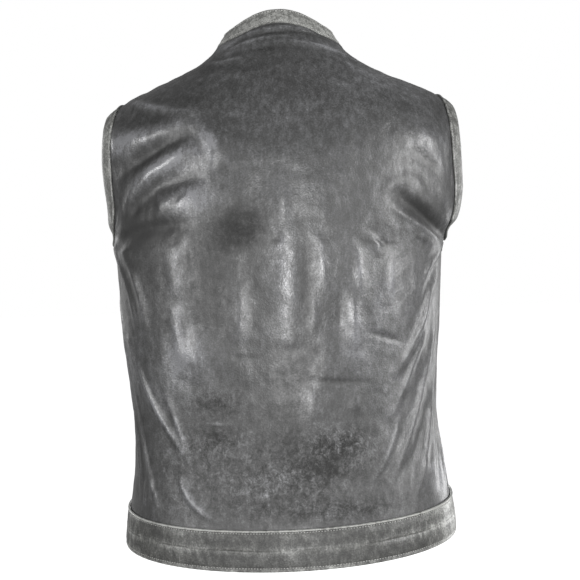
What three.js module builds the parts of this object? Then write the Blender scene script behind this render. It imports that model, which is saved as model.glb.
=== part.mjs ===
// A sleeveless grey leather vest with a short stand collar, bands round the armholes and a deep
// hem band. It is hollow and filled out as if worn, with its front closed by snaps.
//
// Millimetres, +Z up. The back faces +Y and the wearer's left is +X. The origin is the middle of
// the neck opening, at the height where the shoulder seams meet the collar.

import * as THREE from 'three';

// Leather and seams
const LEATHER = 2.0;
const BAND_LEATHER = 2.6;
const STRIP_LEATHER = 2.2;
const SEAM_GAP = 0.3;

// Levels, measured at the side seam
const YOKE_Z = -140;
const UNDERARM_Z = -252;
const BAND_TOP_Z = -561;
const LAP_STEP_TOP_Z = -525;
const LAP_STEP_END_Z = -558;

// The hem's plane falls towards the back and a little towards the wearer's left, by so much for each
// millimetre of depth or width, and the waist sits a little towards the left
const HEM_TILT = 0.13;
const HEM_SIDE_TILT = 0.018;
const TILT_TOP_Z = -430;
const SWAY = 6;
const SWAY_TOP_Z = -190;
const SWAY_BOTTOM_Z = -560;
const SWAY_EASE = 80;

// Neck and shoulder seams
const NECK_HALF_WIDTH = 77;
const NECK_SIDE_Y = 10;
const NECK_BACK_Y = 68;
const NECK_BACK_Z = 16.5;
const NECK_FRONT_Y = -78;
const NECK_FRONT_Z = -68;
const NECK_SHARE = 0.36;
const ROUND_SHARE = 0.6;
const NECK_RISE_CURVE = 1.4;
const SHOULDER_TIP = new THREE.Vector3(196, 2, -69);
const SHOULDER_HOLLOW = 11;

// Collar
const COLLAR_HEIGHT = 29;
const COLLAR_LEAN_BACK = 40;
const COLLAR_LEAN_SIDE = 30;
const COLLAR_LEAN_FRONT = 10;
const COLLAR_END_X = 3;

// Armhole bands: how far a band lies on the panel, and how far it reaches past the edge
const STRIP_ON_PANEL = 4;
const STRIP_PAST_EDGE = 16;
const STRIP_CURL = 1.2;
const STRIP_EDGE_LIFT = 0.9;
const ARMHOLE_MIDDLE = new THREE.Vector3(215, 0, -160);

// Front closure
const SNAP_RADIUS = 7.5;
const SNAP_HEIGHT = 3;
const SNAP_COUNT = 6;
const SNAP_TOP_Z = -96;
const SNAP_BOTTOM_Z = -584;

// Flat half width that the fold tables measure across
const FLAT_HALF_WIDTH = 255;
const FOLD_FADE = 14;

// Shares of a panel this close to its end count as the end
const END_SHARE = 0.001;

// Grid steps
const NECK_STEPS = 6;
const SHOULDER_STEPS = 12;
const YOKE_STEPS = 8;
const LAP_STEPS = 1;
const LAP_EASE_STEPS = 1.4;
const SNAP_SIDES = 12;
const STRIP_STEPS = 2;
const COLLAR_STEPS = 2;

// Levels of the body below the yoke, each an oval that a panel follows from its middle as far as
// its sweep: half width, depth of the middle, the sweep in degrees, how full the oval is (1 is an
// ellipse). Above the underarm the sweep ends at the armhole, below it at the side seam.
const BACK_ROWS = [
  { z: -140, half: 233, mid: 127, sweep: 62.5, full: 0.95 },
  { z: -170, half: 228.5, mid: 129, sweep: 64, full: 0.92 },
  { z: -200, half: 220, mid: 129.5, sweep: 67.8, full: 0.88 },
  { z: -226, half: 212, mid: 129, sweep: 74.7, full: 0.86 },
  { z: -242, half: 206, mid: 128.5, sweep: 81, full: 0.86 },
  { z: -249, half: 204.5, mid: 128.25, sweep: 86, full: 0.86 },
  { z: -252, half: 204, mid: 128.13, sweep: 90, full: 0.86 },
  { z: -275, half: 202, mid: 127.1, sweep: 90, full: 0.86 },
  { z: -310, half: 199.5, mid: 125, sweep: 90, full: 0.86 },
  { z: -350, half: 197.5, mid: 121, sweep: 90, full: 0.86 },
  { z: -390, half: 194, mid: 117.5, sweep: 90, full: 0.86 },
  { z: -430, half: 190.5, mid: 114, sweep: 90, full: 0.86 },
  { z: -465, half: 189, mid: 112.5, sweep: 90, full: 0.86 },
  { z: -500, half: 191, mid: 114.5, sweep: 90, full: 0.86 },
  { z: -535, half: 195.5, mid: 118, sweep: 90, full: 0.88 },
  { z: -561, half: 199.5, mid: 121, sweep: 90, full: 0.92 },
  { z: -573, half: 201, mid: 122, sweep: 90, full: 0.94 },
  { z: -590, half: 203, mid: 123, sweep: 90, full: 0.96 },
  { z: -608, half: 204.5, mid: 124, sweep: 90, full: 1.0 },
];

// The same for the fronts, which share the side seams
const FRONT_ROWS = [
  { z: -140, half: 209, mid: 119, sweep: 66.4, full: 0.95 },
  { z: -170, half: 210.5, mid: 121.5, sweep: 66, full: 0.92 },
  { z: -200, half: 209, mid: 124.5, sweep: 69.7, full: 0.88 },
  { z: -226, half: 206.5, mid: 126, sweep: 76.1, full: 0.86 },
  { z: -242, half: 204.8, mid: 126.3, sweep: 82, full: 0.86 },
  { z: -249, half: 204.2, mid: 126.35, sweep: 86.3, full: 0.86 },
  { z: -252, half: 204, mid: 126.33, sweep: 90, full: 0.86 },
  { z: -275, half: 202, mid: 125.4, sweep: 90, full: 0.86 },
  { z: -310, half: 199.5, mid: 122.6, sweep: 90, full: 0.86 },
  { z: -350, half: 197.5, mid: 118.4, sweep: 90, full: 0.86 },
  { z: -390, half: 194, mid: 115, sweep: 90, full: 0.86 },
  { z: -430, half: 190.5, mid: 113, sweep: 90, full: 0.86 },
  { z: -465, half: 189, mid: 112, sweep: 90, full: 0.86 },
  { z: -500, half: 191, mid: 114, sweep: 90, full: 0.86 },
  { z: -535, half: 195.5, mid: 117, sweep: 90, full: 0.88 },
  { z: -561, half: 199.5, mid: 119.5, sweep: 90, full: 0.92 },
  { z: -573, half: 201, mid: 120.5, sweep: 90, full: 0.94 },
  { z: -590, half: 203, mid: 121.5, sweep: 90, full: 0.96 },
  { z: -608, half: 204.5, mid: 122.5, sweep: 90, full: 1.0 },
];

// Levels of the grid between the yoke and the panel's lower edge, and on down to the hem
const BODY_LEVELS = [-573, -561, -541, -517, -491, -463, -434, -404, -374, -343, -312, -281];
const ARMHOLE_LEVELS = [UNDERARM_Z, -249, -242, -231, -216, -199, -180, -160, YOKE_Z];
const BAND_LEVELS = [-608, -590, -573, -561];

// Largest folds of the back, from one end to the other: u is measured across the flat back from its
// middle, towards the wearer's left. A negative lift is a trough.
const BACK_FOLDS = [
  { u0: 232, z0: -132, u1: 112, z1: -104, bow: 6, width: 11, lift: 4.5 },
  { u0: 210, z0: -158, u1: 126, z1: -120, bow: 0, width: 9, lift: -4 },
  { u0: 216, z0: -189, u1: 104, z1: -122, bow: 10, width: 11, lift: 4.5 },
  { u0: 192, z0: -184, u1: 86, z1: -166, bow: -6, width: 10, lift: -3 },
  { u0: 244, z0: -258, u1: 188, z1: -352, bow: -4, width: 11, lift: 4.5 },
  { u0: 206, z0: -254, u1: 166, z1: -352, bow: 4, width: 9, lift: 3.5 },
  { u0: 190, z0: -400, u1: 108, z1: -508, bow: 6, width: 11, lift: 4.5 },
  { u0: 228, z0: -408, u1: 150, z1: -556, bow: -10, width: 11, lift: 5 },
  { u0: 122, z0: -528, u1: 72, z1: -570, bow: 4, width: 10, lift: 3 },
  { u0: -240, z0: -132, u1: -172, z1: -120, bow: 0, width: 12, lift: 4 },
  { u0: -140, z0: -212, u1: -236, z1: -238, bow: 5, width: 12, lift: 5 },
  { u0: -150, z0: -196, u1: -212, z1: -226, bow: 0, width: 10, lift: -5 },
  { u0: -212, z0: -256, u1: -140, z1: -326, bow: -8, width: 11, lift: 3.5 },
  { u0: -186, z0: -300, u1: -122, z1: -408, bow: -5, width: 12, lift: 3 },
  { u0: -200, z0: -346, u1: -104, z1: -540, bow: 8, width: 11, lift: 4.5 },
  { u0: -216, z0: -392, u1: -158, z1: -545, bow: 4, width: 10, lift: 4 },
  { u0: -124, z0: -466, u1: -78, z1: -545, bow: 5, width: 10, lift: 3 },
];

// Folds of the fronts, u measured from the front's middle to the side, much as on the back
const FRONT_LEFT_FOLDS = [
  { u0: 236, z0: -250, u1: 150, z1: -360, bow: -8, width: 12, lift: 4 },
  { u0: 200, z0: -236, u1: 118, z1: -300, bow: 6, width: 11, lift: 3 },
  { u0: 214, z0: -392, u1: 132, z1: -520, bow: 8, width: 12, lift: 4.5 },
  { u0: 176, z0: -430, u1: 92, z1: -540, bow: -6, width: 11, lift: 3 },
  { u0: 190, z0: -150, u1: 112, z1: -196, bow: 6, width: 11, lift: 3.5 },
];
const FRONT_RIGHT_FOLDS = [
  { u0: -228, z0: -258, u1: -160, z1: -342, bow: -6, width: 11, lift: 3.5 },
  { u0: -206, z0: -240, u1: -104, z1: -292, bow: 6, width: 12, lift: 3.5 },
  { u0: -208, z0: -370, u1: -146, z1: -530, bow: 9, width: 12, lift: 4.5 },
  { u0: -168, z0: -418, u1: -80, z1: -536, bow: -7, width: 11, lift: 3 },
  { u0: -184, z0: -136, u1: -120, z1: -206, bow: 5, width: 11, lift: 3 },
];

// A row's column at any level: a smooth curve through the table's rows, which run downwards
function between(rows, column, z) {
  const last = rows.length - 1;
  let i = 0;
  while (i < last - 1 && rows[i + 1].z > z) i += 1;
  const slope = (k) => {
    const a = rows[Math.max(k - 1, 0)];
    const b = rows[Math.min(k + 1, last)];
    return (b[column] - a[column]) / (b.z - a.z);
  };
  const step = rows[i + 1].z - rows[i].z;
  const t = (z - rows[i].z) / step;
  const start = rows[i][column];
  const rise = rows[i + 1][column] - start;
  const bend0 = step * slope(i) - rise;
  const bend1 = rise - step * slope(i + 1);
  return start + t * rise + t * (1 - t) * ((1 - t) * bend0 + t * bend1);
}

// Eased step from 0 to 1
function ease(value) {
  const t = THREE.MathUtils.clamp(value, 0, 1);
  return t * t * (3 - 2 * t);
}

// A seam's gap is split between the pieces on its two sides
function keepClear(y, facing) {
  return facing * Math.max(facing * y, SEAM_GAP / 2);
}

// Neck seam at the back: share runs from 0 in the middle to 1 at the shoulder seam
function neckBack(share) {
  const angle = share * Math.PI / 2;
  const x = NECK_HALF_WIDTH * Math.sin(angle);
  const y = NECK_SIDE_Y + (NECK_BACK_Y - NECK_SIDE_Y) * Math.cos(angle);
  const z = NECK_BACK_Z * Math.cos(Math.PI / 2 * x / NECK_HALF_WIDTH) ** 2;
  return new THREE.Vector3(x, y, z);
}

// Neck seam at the front
function neckFront(share) {
  const angle = share * Math.PI / 2;
  const x = NECK_HALF_WIDTH * Math.sin(angle);
  const y = NECK_SIDE_Y + (NECK_FRONT_Y - NECK_SIDE_Y) * Math.cos(angle);
  const z = NECK_FRONT_Z * Math.cos(angle) ** 2;
  return new THREE.Vector3(x, y, z);
}

// Shoulder seam: share runs from 0 at the neck to 1 at the armhole
function shoulderSeam(share) {
  const x = THREE.MathUtils.lerp(NECK_HALF_WIDTH, SHOULDER_TIP.x, share);
  const y = THREE.MathUtils.lerp(NECK_SIDE_Y, SHOULDER_TIP.y, share);
  const hollow = SHOULDER_HOLLOW * Math.sin(Math.PI * share) * (1 - share);
  return new THREE.Vector3(x, y, SHOULDER_TIP.z * share - hollow);
}

const BACK = { rows: BACK_ROWS, facing: 1, neck: neckBack };
const FRONT = { rows: FRONT_ROWS, facing: -1, neck: neckFront };

// A point of a panel's outer face below the yoke; across runs from -1 to 1, side to side
function bodyPoint(panel, across, level) {
  const row = (column) => between(panel.rows, column, level);
  const angle = across * THREE.MathUtils.degToRad(row('sweep'));
  const bulge = Math.max(0, Math.cos(angle)) ** row('full');
  const sway = SWAY * ease((SWAY_TOP_Z - level) / SWAY_EASE) * ease((level - SWAY_BOTTOM_Z) / SWAY_EASE);
  const x = row('half') * Math.sin(angle);
  const y = keepClear(panel.facing * row('mid') * bulge, panel.facing);
  const nearHem = ease((TILT_TOP_Z - level) / (TILT_TOP_Z - BAND_TOP_Z));
  return new THREE.Vector3(x + sway, y, level - nearHem * (HEM_TILT * y + HEM_SIDE_TILT * x));
}

// A point of a panel's outer face in the yoke, which rounds over to the neck and shoulder seams
function yokePoint(panel, across, up) {
  const side = Math.abs(across);
  const base = bodyPoint(panel, across, YOKE_Z);
  const onNeck = side <= NECK_SHARE;
  const top = onNeck
    ? panel.neck(side / NECK_SHARE)
    : shoulderSeam((side - NECK_SHARE) / (1 - NECK_SHARE));
  top.x *= Math.sign(across);
  const round = ease(side / ROUND_SHARE);
  const lean = THREE.MathUtils.lerp(up ** NECK_RISE_CURVE, 1 - Math.cos(up * Math.PI / 2), round);
  const rise = THREE.MathUtils.lerp(up, Math.sin(up * Math.PI / 2), round);
  const point = new THREE.Vector3();
  point.x = THREE.MathUtils.lerp(base.x, top.x, lean);
  point.y = THREE.MathUtils.lerp(base.y, top.y, lean);
  point.z = THREE.MathUtils.lerp(base.z, top.z, rise);
  if (side > NECK_SHARE - END_SHARE) point.y += panel.facing * SEAM_GAP / 2 * up;
  return point;
}

// A point's level, measured from the hem's tilted plane
function hemLevel(point) {
  return point.z + HEM_TILT * point.y + HEM_SIDE_TILT * point.x;
}

// Height of the folds at a place on the flat panel
function foldHeight(folds, u, z) {
  let height = 0;
  for (const fold of folds) {
    const length = Math.hypot(fold.u1 - fold.u0, fold.z1 - fold.z0);
    const du = (fold.u1 - fold.u0) / length;
    const dz = (fold.z1 - fold.z0) / length;
    const along = ((u - fold.u0) * du + (z - fold.z0) * dz) / length;
    if (along <= 0 || along >= 1) continue;
    const bow = fold.bow * 4 * along * (1 - along);
    const off = (z - fold.z0) * du - (u - fold.u0) * dz - bow;
    height += fold.lift * Math.sin(Math.PI * along) * Math.exp(-((off / fold.width) ** 2));
  }
  return height;
}

// Outward directions of a grid of points, whose rows run from the lower edge up
function gridNormals(grid, facing) {
  return grid.map((row, j) => row.map((point, i) => {
    const across = row[Math.min(i + 1, row.length - 1)].clone().sub(row[Math.max(i - 1, 0)]);
    const above = grid[Math.min(j + 1, grid.length - 1)][i];
    const below = grid[Math.max(j - 1, 0)][i];
    const outward = -facing * Math.sign(row[row.length - 1].x - row[0].x);
    return across.cross(above.clone().sub(below)).normalize().multiplyScalar(outward);
  }));
}

// A panel's outer points and outward directions, from its lower edge up to its seams
function panelGrid(panel, acrossList, folds) {
  const rows = BODY_LEVELS.concat(ARMHOLE_LEVELS).map((level) =>
    acrossList.map((across) => bodyPoint(panel, across, level)));
  for (let k = 1; k <= YOKE_STEPS; k += 1) {
    rows.push(acrossList.map((across) => yokePoint(panel, across, k / YOKE_STEPS)));
  }
  const smooth = gridNormals(rows, panel.facing);
  const points = rows.map((row, j) => row.map((point, i) => {
    const u = acrossList[i] * FLAT_HALF_WIDTH;
    const fromBand = ease((hemLevel(point) - BAND_TOP_Z) / FOLD_FADE);
    const toSeam = ease((1 - Math.abs(acrossList[i])) * FLAT_HALF_WIDTH / FOLD_FADE);
    const height = foldHeight(folds, u, point.z) * fromBand * toSeam;
    return point.clone().addScaledVector(smooth[j][i], height);
  }));
  const normals = gridNormals(points, panel.facing);
  squareToSeams(normals, acrossList);
  return { points, normals };
}

// At the side and shoulder seams both panels' walls end square to the seam
function squareToSeams(normals, acrossList) {
  const top = normals.length - 1;
  const underarm = BODY_LEVELS.length;
  normals.forEach((row, j) => row.forEach((normal, i) => {
    const side = Math.abs(acrossList[i]);
    const onSideSeam = side > 1 - END_SHARE && j <= underarm;
    const onShoulderSeam = side > NECK_SHARE - END_SHARE && j === top;
    if (onSideSeam || onShoulderSeam) normal.setY(0).normalize();
  }));
}

// Points moved along their outward directions
function moved(grid, distance) {
  return grid.points.map((row, j) => row.map((point, i) =>
    point.clone().addScaledVector(grid.normals[j][i], distance)));
}

// A closed wall between two grids of points; loop joins the last row to the first
function wall(outer, inner, loop = false) {
  const rowCount = outer.length;
  const size = outer[0].length;
  const layer = rowCount * size;
  const positions = [];
  for (const grid of [outer, inner]) {
    for (const row of grid) {
      for (const point of row) positions.push(point.x, point.y, point.z);
    }
  }
  const index = [];
  const quad = (a, b, c, d) => index.push(a, b, c, a, c, d);
  const spans = loop ? rowCount : rowCount - 1;
  for (let j = 0; j < spans; j += 1) {
    const here = j * size;
    const next = ((j + 1) % rowCount) * size;
    for (let i = 0; i < size - 1; i += 1) {
      quad(here + i, here + i + 1, next + i + 1, next + i);
      quad(layer + next + i, layer + next + i + 1, layer + here + i + 1, layer + here + i);
    }
    quad(here, next, layer + next, layer + here);
    quad(here + size - 1, layer + here + size - 1, layer + next + size - 1, next + size - 1);
  }
  if (!loop) {
    const end = (rowCount - 1) * size;
    for (let i = 0; i < size - 1; i += 1) {
      quad(i, layer + i, layer + i + 1, i + 1);
      quad(end + i, end + i + 1, layer + end + i + 1, layer + end + i);
    }
  }
  if (signedVolume(positions, index) < 0) index.reverse();
  const geometry = new THREE.BufferGeometry();
  geometry.setAttribute('position', new THREE.Float32BufferAttribute(positions, 3));
  geometry.setIndex(index);
  geometry.computeVertexNormals();
  return geometry;
}

// Positive where a closed surface's faces point out
function signedVolume(positions, index) {
  const corner = (k) => new THREE.Vector3().fromArray(positions, index[k] * 3);
  let sum = 0;
  for (let k = 0; k < index.length; k += 3) {
    sum += corner(k).dot(corner(k + 1).cross(corner(k + 2)));
  }
  return sum / 6;
}

// Places across half a panel: even steps on the neck, then even steps on the shoulder
function halfAcross() {
  const list = [];
  for (let i = 0; i <= NECK_STEPS; i += 1) list.push(NECK_SHARE * i / NECK_STEPS);
  for (let i = 1; i <= SHOULDER_STEPS; i += 1) {
    list.push(NECK_SHARE + (1 - NECK_SHARE) * i / SHOULDER_STEPS);
  }
  return list;
}

// Places across the whole back, and across a front with its lap past the middle
const HALF_ACROSS = halfAcross();
const BACK_ACROSS = HALF_ACROSS.slice(1).reverse().map((a) => -a).concat(HALF_ACROSS);
const LAP_ACROSS = HALF_ACROSS.slice(1, 1 + LAP_STEPS).reverse().map((a) => -a);
const LEFT_ACROSS = LAP_ACROSS.concat(HALF_ACROSS);
const RIGHT_ACROSS = LEFT_ACROSS.map((a) => -a);

const LEATHER_LOOK = { color: 0x6c6e6e, roughness: 0.5, metalness: 0 };
const EDGE_LOOK = { color: 0x767873, roughness: 0.55, metalness: 0 };
const METAL_LOOK = { color: 0x8a8c8e, roughness: 0.35, metalness: 1 };

const vest = new THREE.Group();

function add(name, geometry, look) {
  const mesh = new THREE.Mesh(geometry, new THREE.MeshStandardMaterial(look));
  mesh.name = name;
  vest.add(mesh);
  return mesh;
}

// The left front lies over the right one, and near the hem over the right one's band too
function raisedLap(grid) {
  const points = grid.points.map((row, j) => row.map((point, i) => {
    const nearHem = ease((LAP_STEP_TOP_Z - hemLevel(point)) / (LAP_STEP_TOP_Z - LAP_STEP_END_Z));
    const lift = LEATHER + SEAM_GAP + (BAND_LEATHER + SEAM_GAP) * nearHem;
    const share = ease(1 - (i - 2 * LAP_STEPS) / LAP_EASE_STEPS);
    return point.clone().addScaledVector(grid.normals[j][i], lift * share);
  }));
  return { points, normals: grid.normals };
}

function addPanel(name, grid) {
  add(name, wall(grid.points, moved(grid, -LEATHER)), LEATHER_LOOK);
}

// Points of the hem band's seam side: the panel's own levels, carried on down to the hem
function bandGrid(panel, acrossList) {
  const points = BAND_LEVELS.map((level) => acrossList.map((a) => bodyPoint(panel, a, level)));
  const normals = gridNormals(points, panel.facing);
  normals.forEach((row) => row.forEach((normal, i) => {
    if (Math.abs(acrossList[i]) > 1 - END_SHARE) normal.setY(0).normalize();
  }));
  return { points, normals };
}

// The hem band lies on the outside of the panels' lower edges
function addBand(name, grid) {
  const outer = moved(grid, SEAM_GAP + BAND_LEATHER);
  add(name, wall(outer, moved(grid, SEAM_GAP)), EDGE_LOOK);
}

// The edge of an armhole as a loop: up the back from the underarm, then down the front
function armholeEdge(back, front, backColumn, frontColumn) {
  const underarm = BODY_LEVELS.length;
  const top = back.points.length - 1;
  const edge = (grid, column, j) => ({
    point: grid.points[j][column].clone(),
    normal: grid.normals[j][column].clone(),
  });
  const meeting = (j) => {
    const a = edge(back, backColumn, j);
    const b = edge(front, frontColumn, j);
    return { point: a.point.lerp(b.point, 0.5), normal: a.normal.add(b.normal).normalize() };
  };
  const loop = [meeting(underarm)];
  for (let j = underarm + 1; j < top; j += 1) loop.push(edge(back, backColumn, j));
  loop.push(meeting(top));
  for (let j = top - 1; j > underarm; j -= 1) loop.push(edge(front, frontColumn, j));
  return loop;
}

// A folded strip round an armhole, lying on the panels' edges and reaching past them
function addArmholeBand(name, loop, side) {
  const middle = ARMHOLE_MIDDLE.clone();
  middle.x *= side;
  const outer = [];
  const inner = [];
  loop.forEach(({ point, normal }, j) => {
    const before = loop[(j + loop.length - 1) % loop.length].point;
    const after = loop[(j + 1) % loop.length].point;
    const past = after.clone().sub(before).cross(normal).normalize();
    if (past.dot(middle.clone().sub(point)) < 0) past.negate();
    const outerRow = [];
    const innerRow = [];
    for (let i = 0; i <= STRIP_STEPS; i += 1) {
      const reach = THREE.MathUtils.lerp(-STRIP_ON_PANEL, STRIP_PAST_EDGE, i / STRIP_STEPS);
      const curl = reach > 0
        ? STRIP_CURL * (reach / STRIP_PAST_EDGE) ** 2
        : -STRIP_EDGE_LIFT * (reach / STRIP_ON_PANEL) ** 2;
      const base = point.clone().addScaledVector(past, reach);
      innerRow.push(base.clone().addScaledVector(normal, SEAM_GAP - curl));
      outerRow.push(base.clone().addScaledVector(normal, SEAM_GAP + STRIP_LEATHER - curl));
    }
    outer.push(outerRow);
    inner.push(innerRow);
  });
  add(name, wall(outer, inner, true), EDGE_LOOK);
}

// The neck seam from the left front's collar end, round the back, to the right front's
function neckPath() {
  const stop = (panel, share, side, middleLean) => {
    const across = side * share * NECK_SHARE;
    const point = yokePoint(panel, across, 1);
    const below = yokePoint(panel, across, 1 - 1 / YOKE_STEPS);
    const lean = THREE.MathUtils.lerp(middleLean, COLLAR_LEAN_SIDE, share);
    return { point, rising: point.clone().sub(below).normalize(), lean };
  };
  const front = (k, side) => stop(FRONT, k / NECK_STEPS, side, COLLAR_LEAN_FRONT);
  const end = (side) => {
    const middle = front(0, side);
    const next = front(1, side);
    middle.point.lerp(next.point, COLLAR_END_X / Math.abs(next.point.x));
    return middle;
  };
  const path = [end(1)];
  for (let k = 1; k < NECK_STEPS; k += 1) path.push(front(k, 1));
  for (let k = NECK_STEPS; k >= -NECK_STEPS; k -= 1) {
    path.push(stop(BACK, Math.abs(k) / NECK_STEPS, Math.sign(k) || 1, COLLAR_LEAN_BACK));
  }
  for (let k = NECK_STEPS - 1; k > 0; k -= 1) path.push(front(k, -1));
  path.push(end(-1));
  return path;
}

// The stand collar: a strip that rises from the neck seam and leans in towards the neck
function addCollar() {
  const path = neckPath();
  const up = new THREE.Vector3(0, 0, 1);
  const outer = [];
  const inner = [];
  path.forEach(({ point, rising, lean }, j) => {
    const before = path[Math.max(j - 1, 0)].point;
    const after = path[Math.min(j + 1, path.length - 1)].point;
    const along = after.clone().sub(before).normalize();
    const upright = up.clone().addScaledVector(along, -up.dot(along)).normalize();
    const inward = along.clone().cross(upright).normalize();
    if (inward.dot(new THREE.Vector3(-point.x, -point.y, 0)) < 0) inward.negate();
    const angle = THREE.MathUtils.degToRad(lean);
    const rise = upright.clone().multiplyScalar(Math.cos(angle)).addScaledVector(inward, Math.sin(angle));
    const face = upright.clone().multiplyScalar(Math.sin(angle)).addScaledVector(inward, -Math.cos(angle));
    const trim = LEATHER * Math.max(0, face.dot(rising)) / rise.dot(rising);
    const outerRow = [];
    const innerRow = [];
    for (let i = 0; i <= COLLAR_STEPS; i += 1) {
      const share = i / COLLAR_STEPS;
      const height = SEAM_GAP + (COLLAR_HEIGHT - SEAM_GAP) * share;
      const base = point.clone().addScaledVector(rise, height);
      outerRow.push(base);
      innerRow.push(base.clone().addScaledVector(rise, trim * (1 - share)).addScaledVector(face, -LEATHER));
    }
    outer.push(outerRow);
    inner.push(innerRow);
  });
  add('collar', wall(outer, inner), EDGE_LOOK);
}

// Place and outward direction at a height on the middle column of a front's grid
function onMiddle(grid, z) {
  const column = LAP_STEPS;
  let j = 0;
  while (j < grid.points.length - 2 && grid.points[j + 1][column].z < z) j += 1;
  const below = grid.points[j][column];
  const above = grid.points[j + 1][column];
  const share = (z - below.z) / (above.z - below.z);
  const point = below.clone().lerp(above, share);
  const normal = grid.normals[j][column].clone().lerp(grid.normals[j + 1][column], share).normalize();
  return { point, normal };
}

// A domed snap cap, its flat foot just off the leather
function addSnap(name, place) {
  const profile = [
    new THREE.Vector2(0, 0),
    new THREE.Vector2(SNAP_RADIUS * 0.96, 0),
    new THREE.Vector2(SNAP_RADIUS, SNAP_HEIGHT * 0.25),
    new THREE.Vector2(SNAP_RADIUS * 0.84, SNAP_HEIGHT * 0.64),
    new THREE.Vector2(SNAP_RADIUS * 0.45, SNAP_HEIGHT * 0.93),
    new THREE.Vector2(0, SNAP_HEIGHT),
  ];
  const cap = add(name, new THREE.LatheGeometry(profile, SNAP_SIDES), METAL_LOOK);
  cap.position.copy(place.point).addScaledVector(place.normal, SEAM_GAP);
  cap.quaternion.setFromUnitVectors(new THREE.Vector3(0, 1, 0), place.normal);
}

const backGrid = panelGrid(BACK, BACK_ACROSS, BACK_FOLDS);
const leftGrid = raisedLap(panelGrid(FRONT, LEFT_ACROSS, FRONT_LEFT_FOLDS));
const rightGrid = panelGrid(FRONT, RIGHT_ACROSS, FRONT_RIGHT_FOLDS);

addPanel('back', backGrid);
addPanel('front_left', leftGrid);
addPanel('front_right', rightGrid);

const bandLeft = raisedLap(bandGrid(FRONT, LEFT_ACROSS));

addBand('hem_band_back', bandGrid(BACK, BACK_ACROSS));
addBand('hem_band_front_left', bandLeft);
addBand('hem_band_front_right', bandGrid(FRONT, RIGHT_ACROSS));

const backEnd = BACK_ACROSS.length - 1;
const frontEnd = LEFT_ACROSS.length - 1;
addArmholeBand('armhole_band_left', armholeEdge(backGrid, leftGrid, backEnd, frontEnd), 1);
addArmholeBand('armhole_band_right', armholeEdge(backGrid, rightGrid, 0, frontEnd), -1);

addCollar();

const bandFace = { points: moved(bandLeft, SEAM_GAP + BAND_LEATHER), normals: bandLeft.normals };
for (let k = 1; k <= SNAP_COUNT; k += 1) {
  const z = THREE.MathUtils.lerp(SNAP_TOP_Z, SNAP_BOTTOM_Z, (k - 1) / (SNAP_COUNT - 1));
  addSnap(`snap_${k}`, onMiddle(k < SNAP_COUNT ? leftGrid : bandFace, z));
}

export default vest;
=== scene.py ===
# A worn grey leather vest, filled out and seen from behind: plain back, two fronts, stand collar,
# armhole bands, hem band, stitching and snaps. Sizes are millimetres until a mesh is made.
import math
from collections import namedtuple

import bmesh
import bpy
import numpy as np
from mathutils import Matrix, Vector, noise


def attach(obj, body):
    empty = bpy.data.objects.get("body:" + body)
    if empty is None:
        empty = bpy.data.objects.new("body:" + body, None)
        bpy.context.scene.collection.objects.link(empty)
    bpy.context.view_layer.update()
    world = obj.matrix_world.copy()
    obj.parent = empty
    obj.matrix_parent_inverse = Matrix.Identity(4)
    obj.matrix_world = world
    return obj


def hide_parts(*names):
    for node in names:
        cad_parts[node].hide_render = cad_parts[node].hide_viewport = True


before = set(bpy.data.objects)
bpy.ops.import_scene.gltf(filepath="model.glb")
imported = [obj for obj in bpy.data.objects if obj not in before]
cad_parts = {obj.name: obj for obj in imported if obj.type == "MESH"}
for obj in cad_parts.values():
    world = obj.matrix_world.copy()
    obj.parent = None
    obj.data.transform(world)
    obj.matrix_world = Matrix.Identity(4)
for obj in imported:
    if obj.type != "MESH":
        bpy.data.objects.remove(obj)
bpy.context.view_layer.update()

MM = 0.001

# Leather, folds of the trims and the gaps that the sewing closes
LEATHER = 1.6
BAND_LEATHER = 2.6
SEAM_GAP = 0.3
EDGE_GAP = 0.02
SEAM_ROLL = 1.1
SEAM_ROLL_WIDTH = 3.2
LAP_LEATHER = 2.0
LAP_SHARE = 0.06
LAP_FADE_SHARE = 0.084

# Levels at the side seam
YOKE_Z = -140
UNDERARM_Z = -252
BAND_TOP_Z = -561
HEM_Z = -608
PANEL_END_Z = -573
LAP_STEP_TOP_Z = -525
LAP_STEP_END_Z = -558

# Tilt of the hem and sideways lean of the waist
HEM_TILT = 0.13
HEM_SIDE_TILT = 0.018
TILT_TOP_Z = -430
SWAY = 6
SWAY_TOP_Z = -190
SWAY_BOTTOM_Z = -560
SWAY_EASE = 80
SWAY_BOTTOM_EASE = 200

# Neck and shoulders
NECK_HALF_WIDTH = 77
NECK_SIDE_Y = 10
NECK_BACK_Y = 68
NECK_BACK_Z = 16.5
NECK_FRONT_Y = -78
NECK_FRONT_Z = -68
NECK_SHARE = 0.36
ROUND_SHARE = 0.6
NECK_RISE_CURVE = 1.4
SHOULDER_TIP = np.array([196.0, 2.0, -69.0])
SHOULDER_HOLLOW = 15
HOLLOW_POWER = 0.8
RIGHT_SHOULDER_LIFT = 3.5

# Collar
COLLAR_LEAN_BACK = 40
COLLAR_LEAN_SIDE = 30
COLLAR_LEAN_FRONT = 10
COLLAR_END_X = 3
COLLAR_SIDE_DROP = 0.22
COLLAR_DROP_POWER = 5
COLLAR_STEPS = 36
COLLAR_WAVE = 0.3
COLLAR_WAVE_SIZE = 11
COLLAR_SEAM_STITCH_RISE = 5.2
COLLAR_TOP_STITCH_RISE = 24.5

# Armhole bands
STRIP_PAST_EDGE = 16
STRIP_CURL = 1.2
LEFT_BAND_FLARE = 4.2
RIGHT_BAND_FLARE = 3.8
EDGE_ROUNDS = 6
ALONG_ROUNDS = 2
FLARE_RISE = 28
FLARE_DEPTH = 40
STRIP_WAVE = 0.3
STRIP_WAVE_SIZE = 9
STRIP_GROOVE_BACK = 0.3
STRIP_GROOVE_OFF = 2.2
ARMHOLE_MIDDLE = np.array([215.0, 0.0, -160.0])

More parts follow.
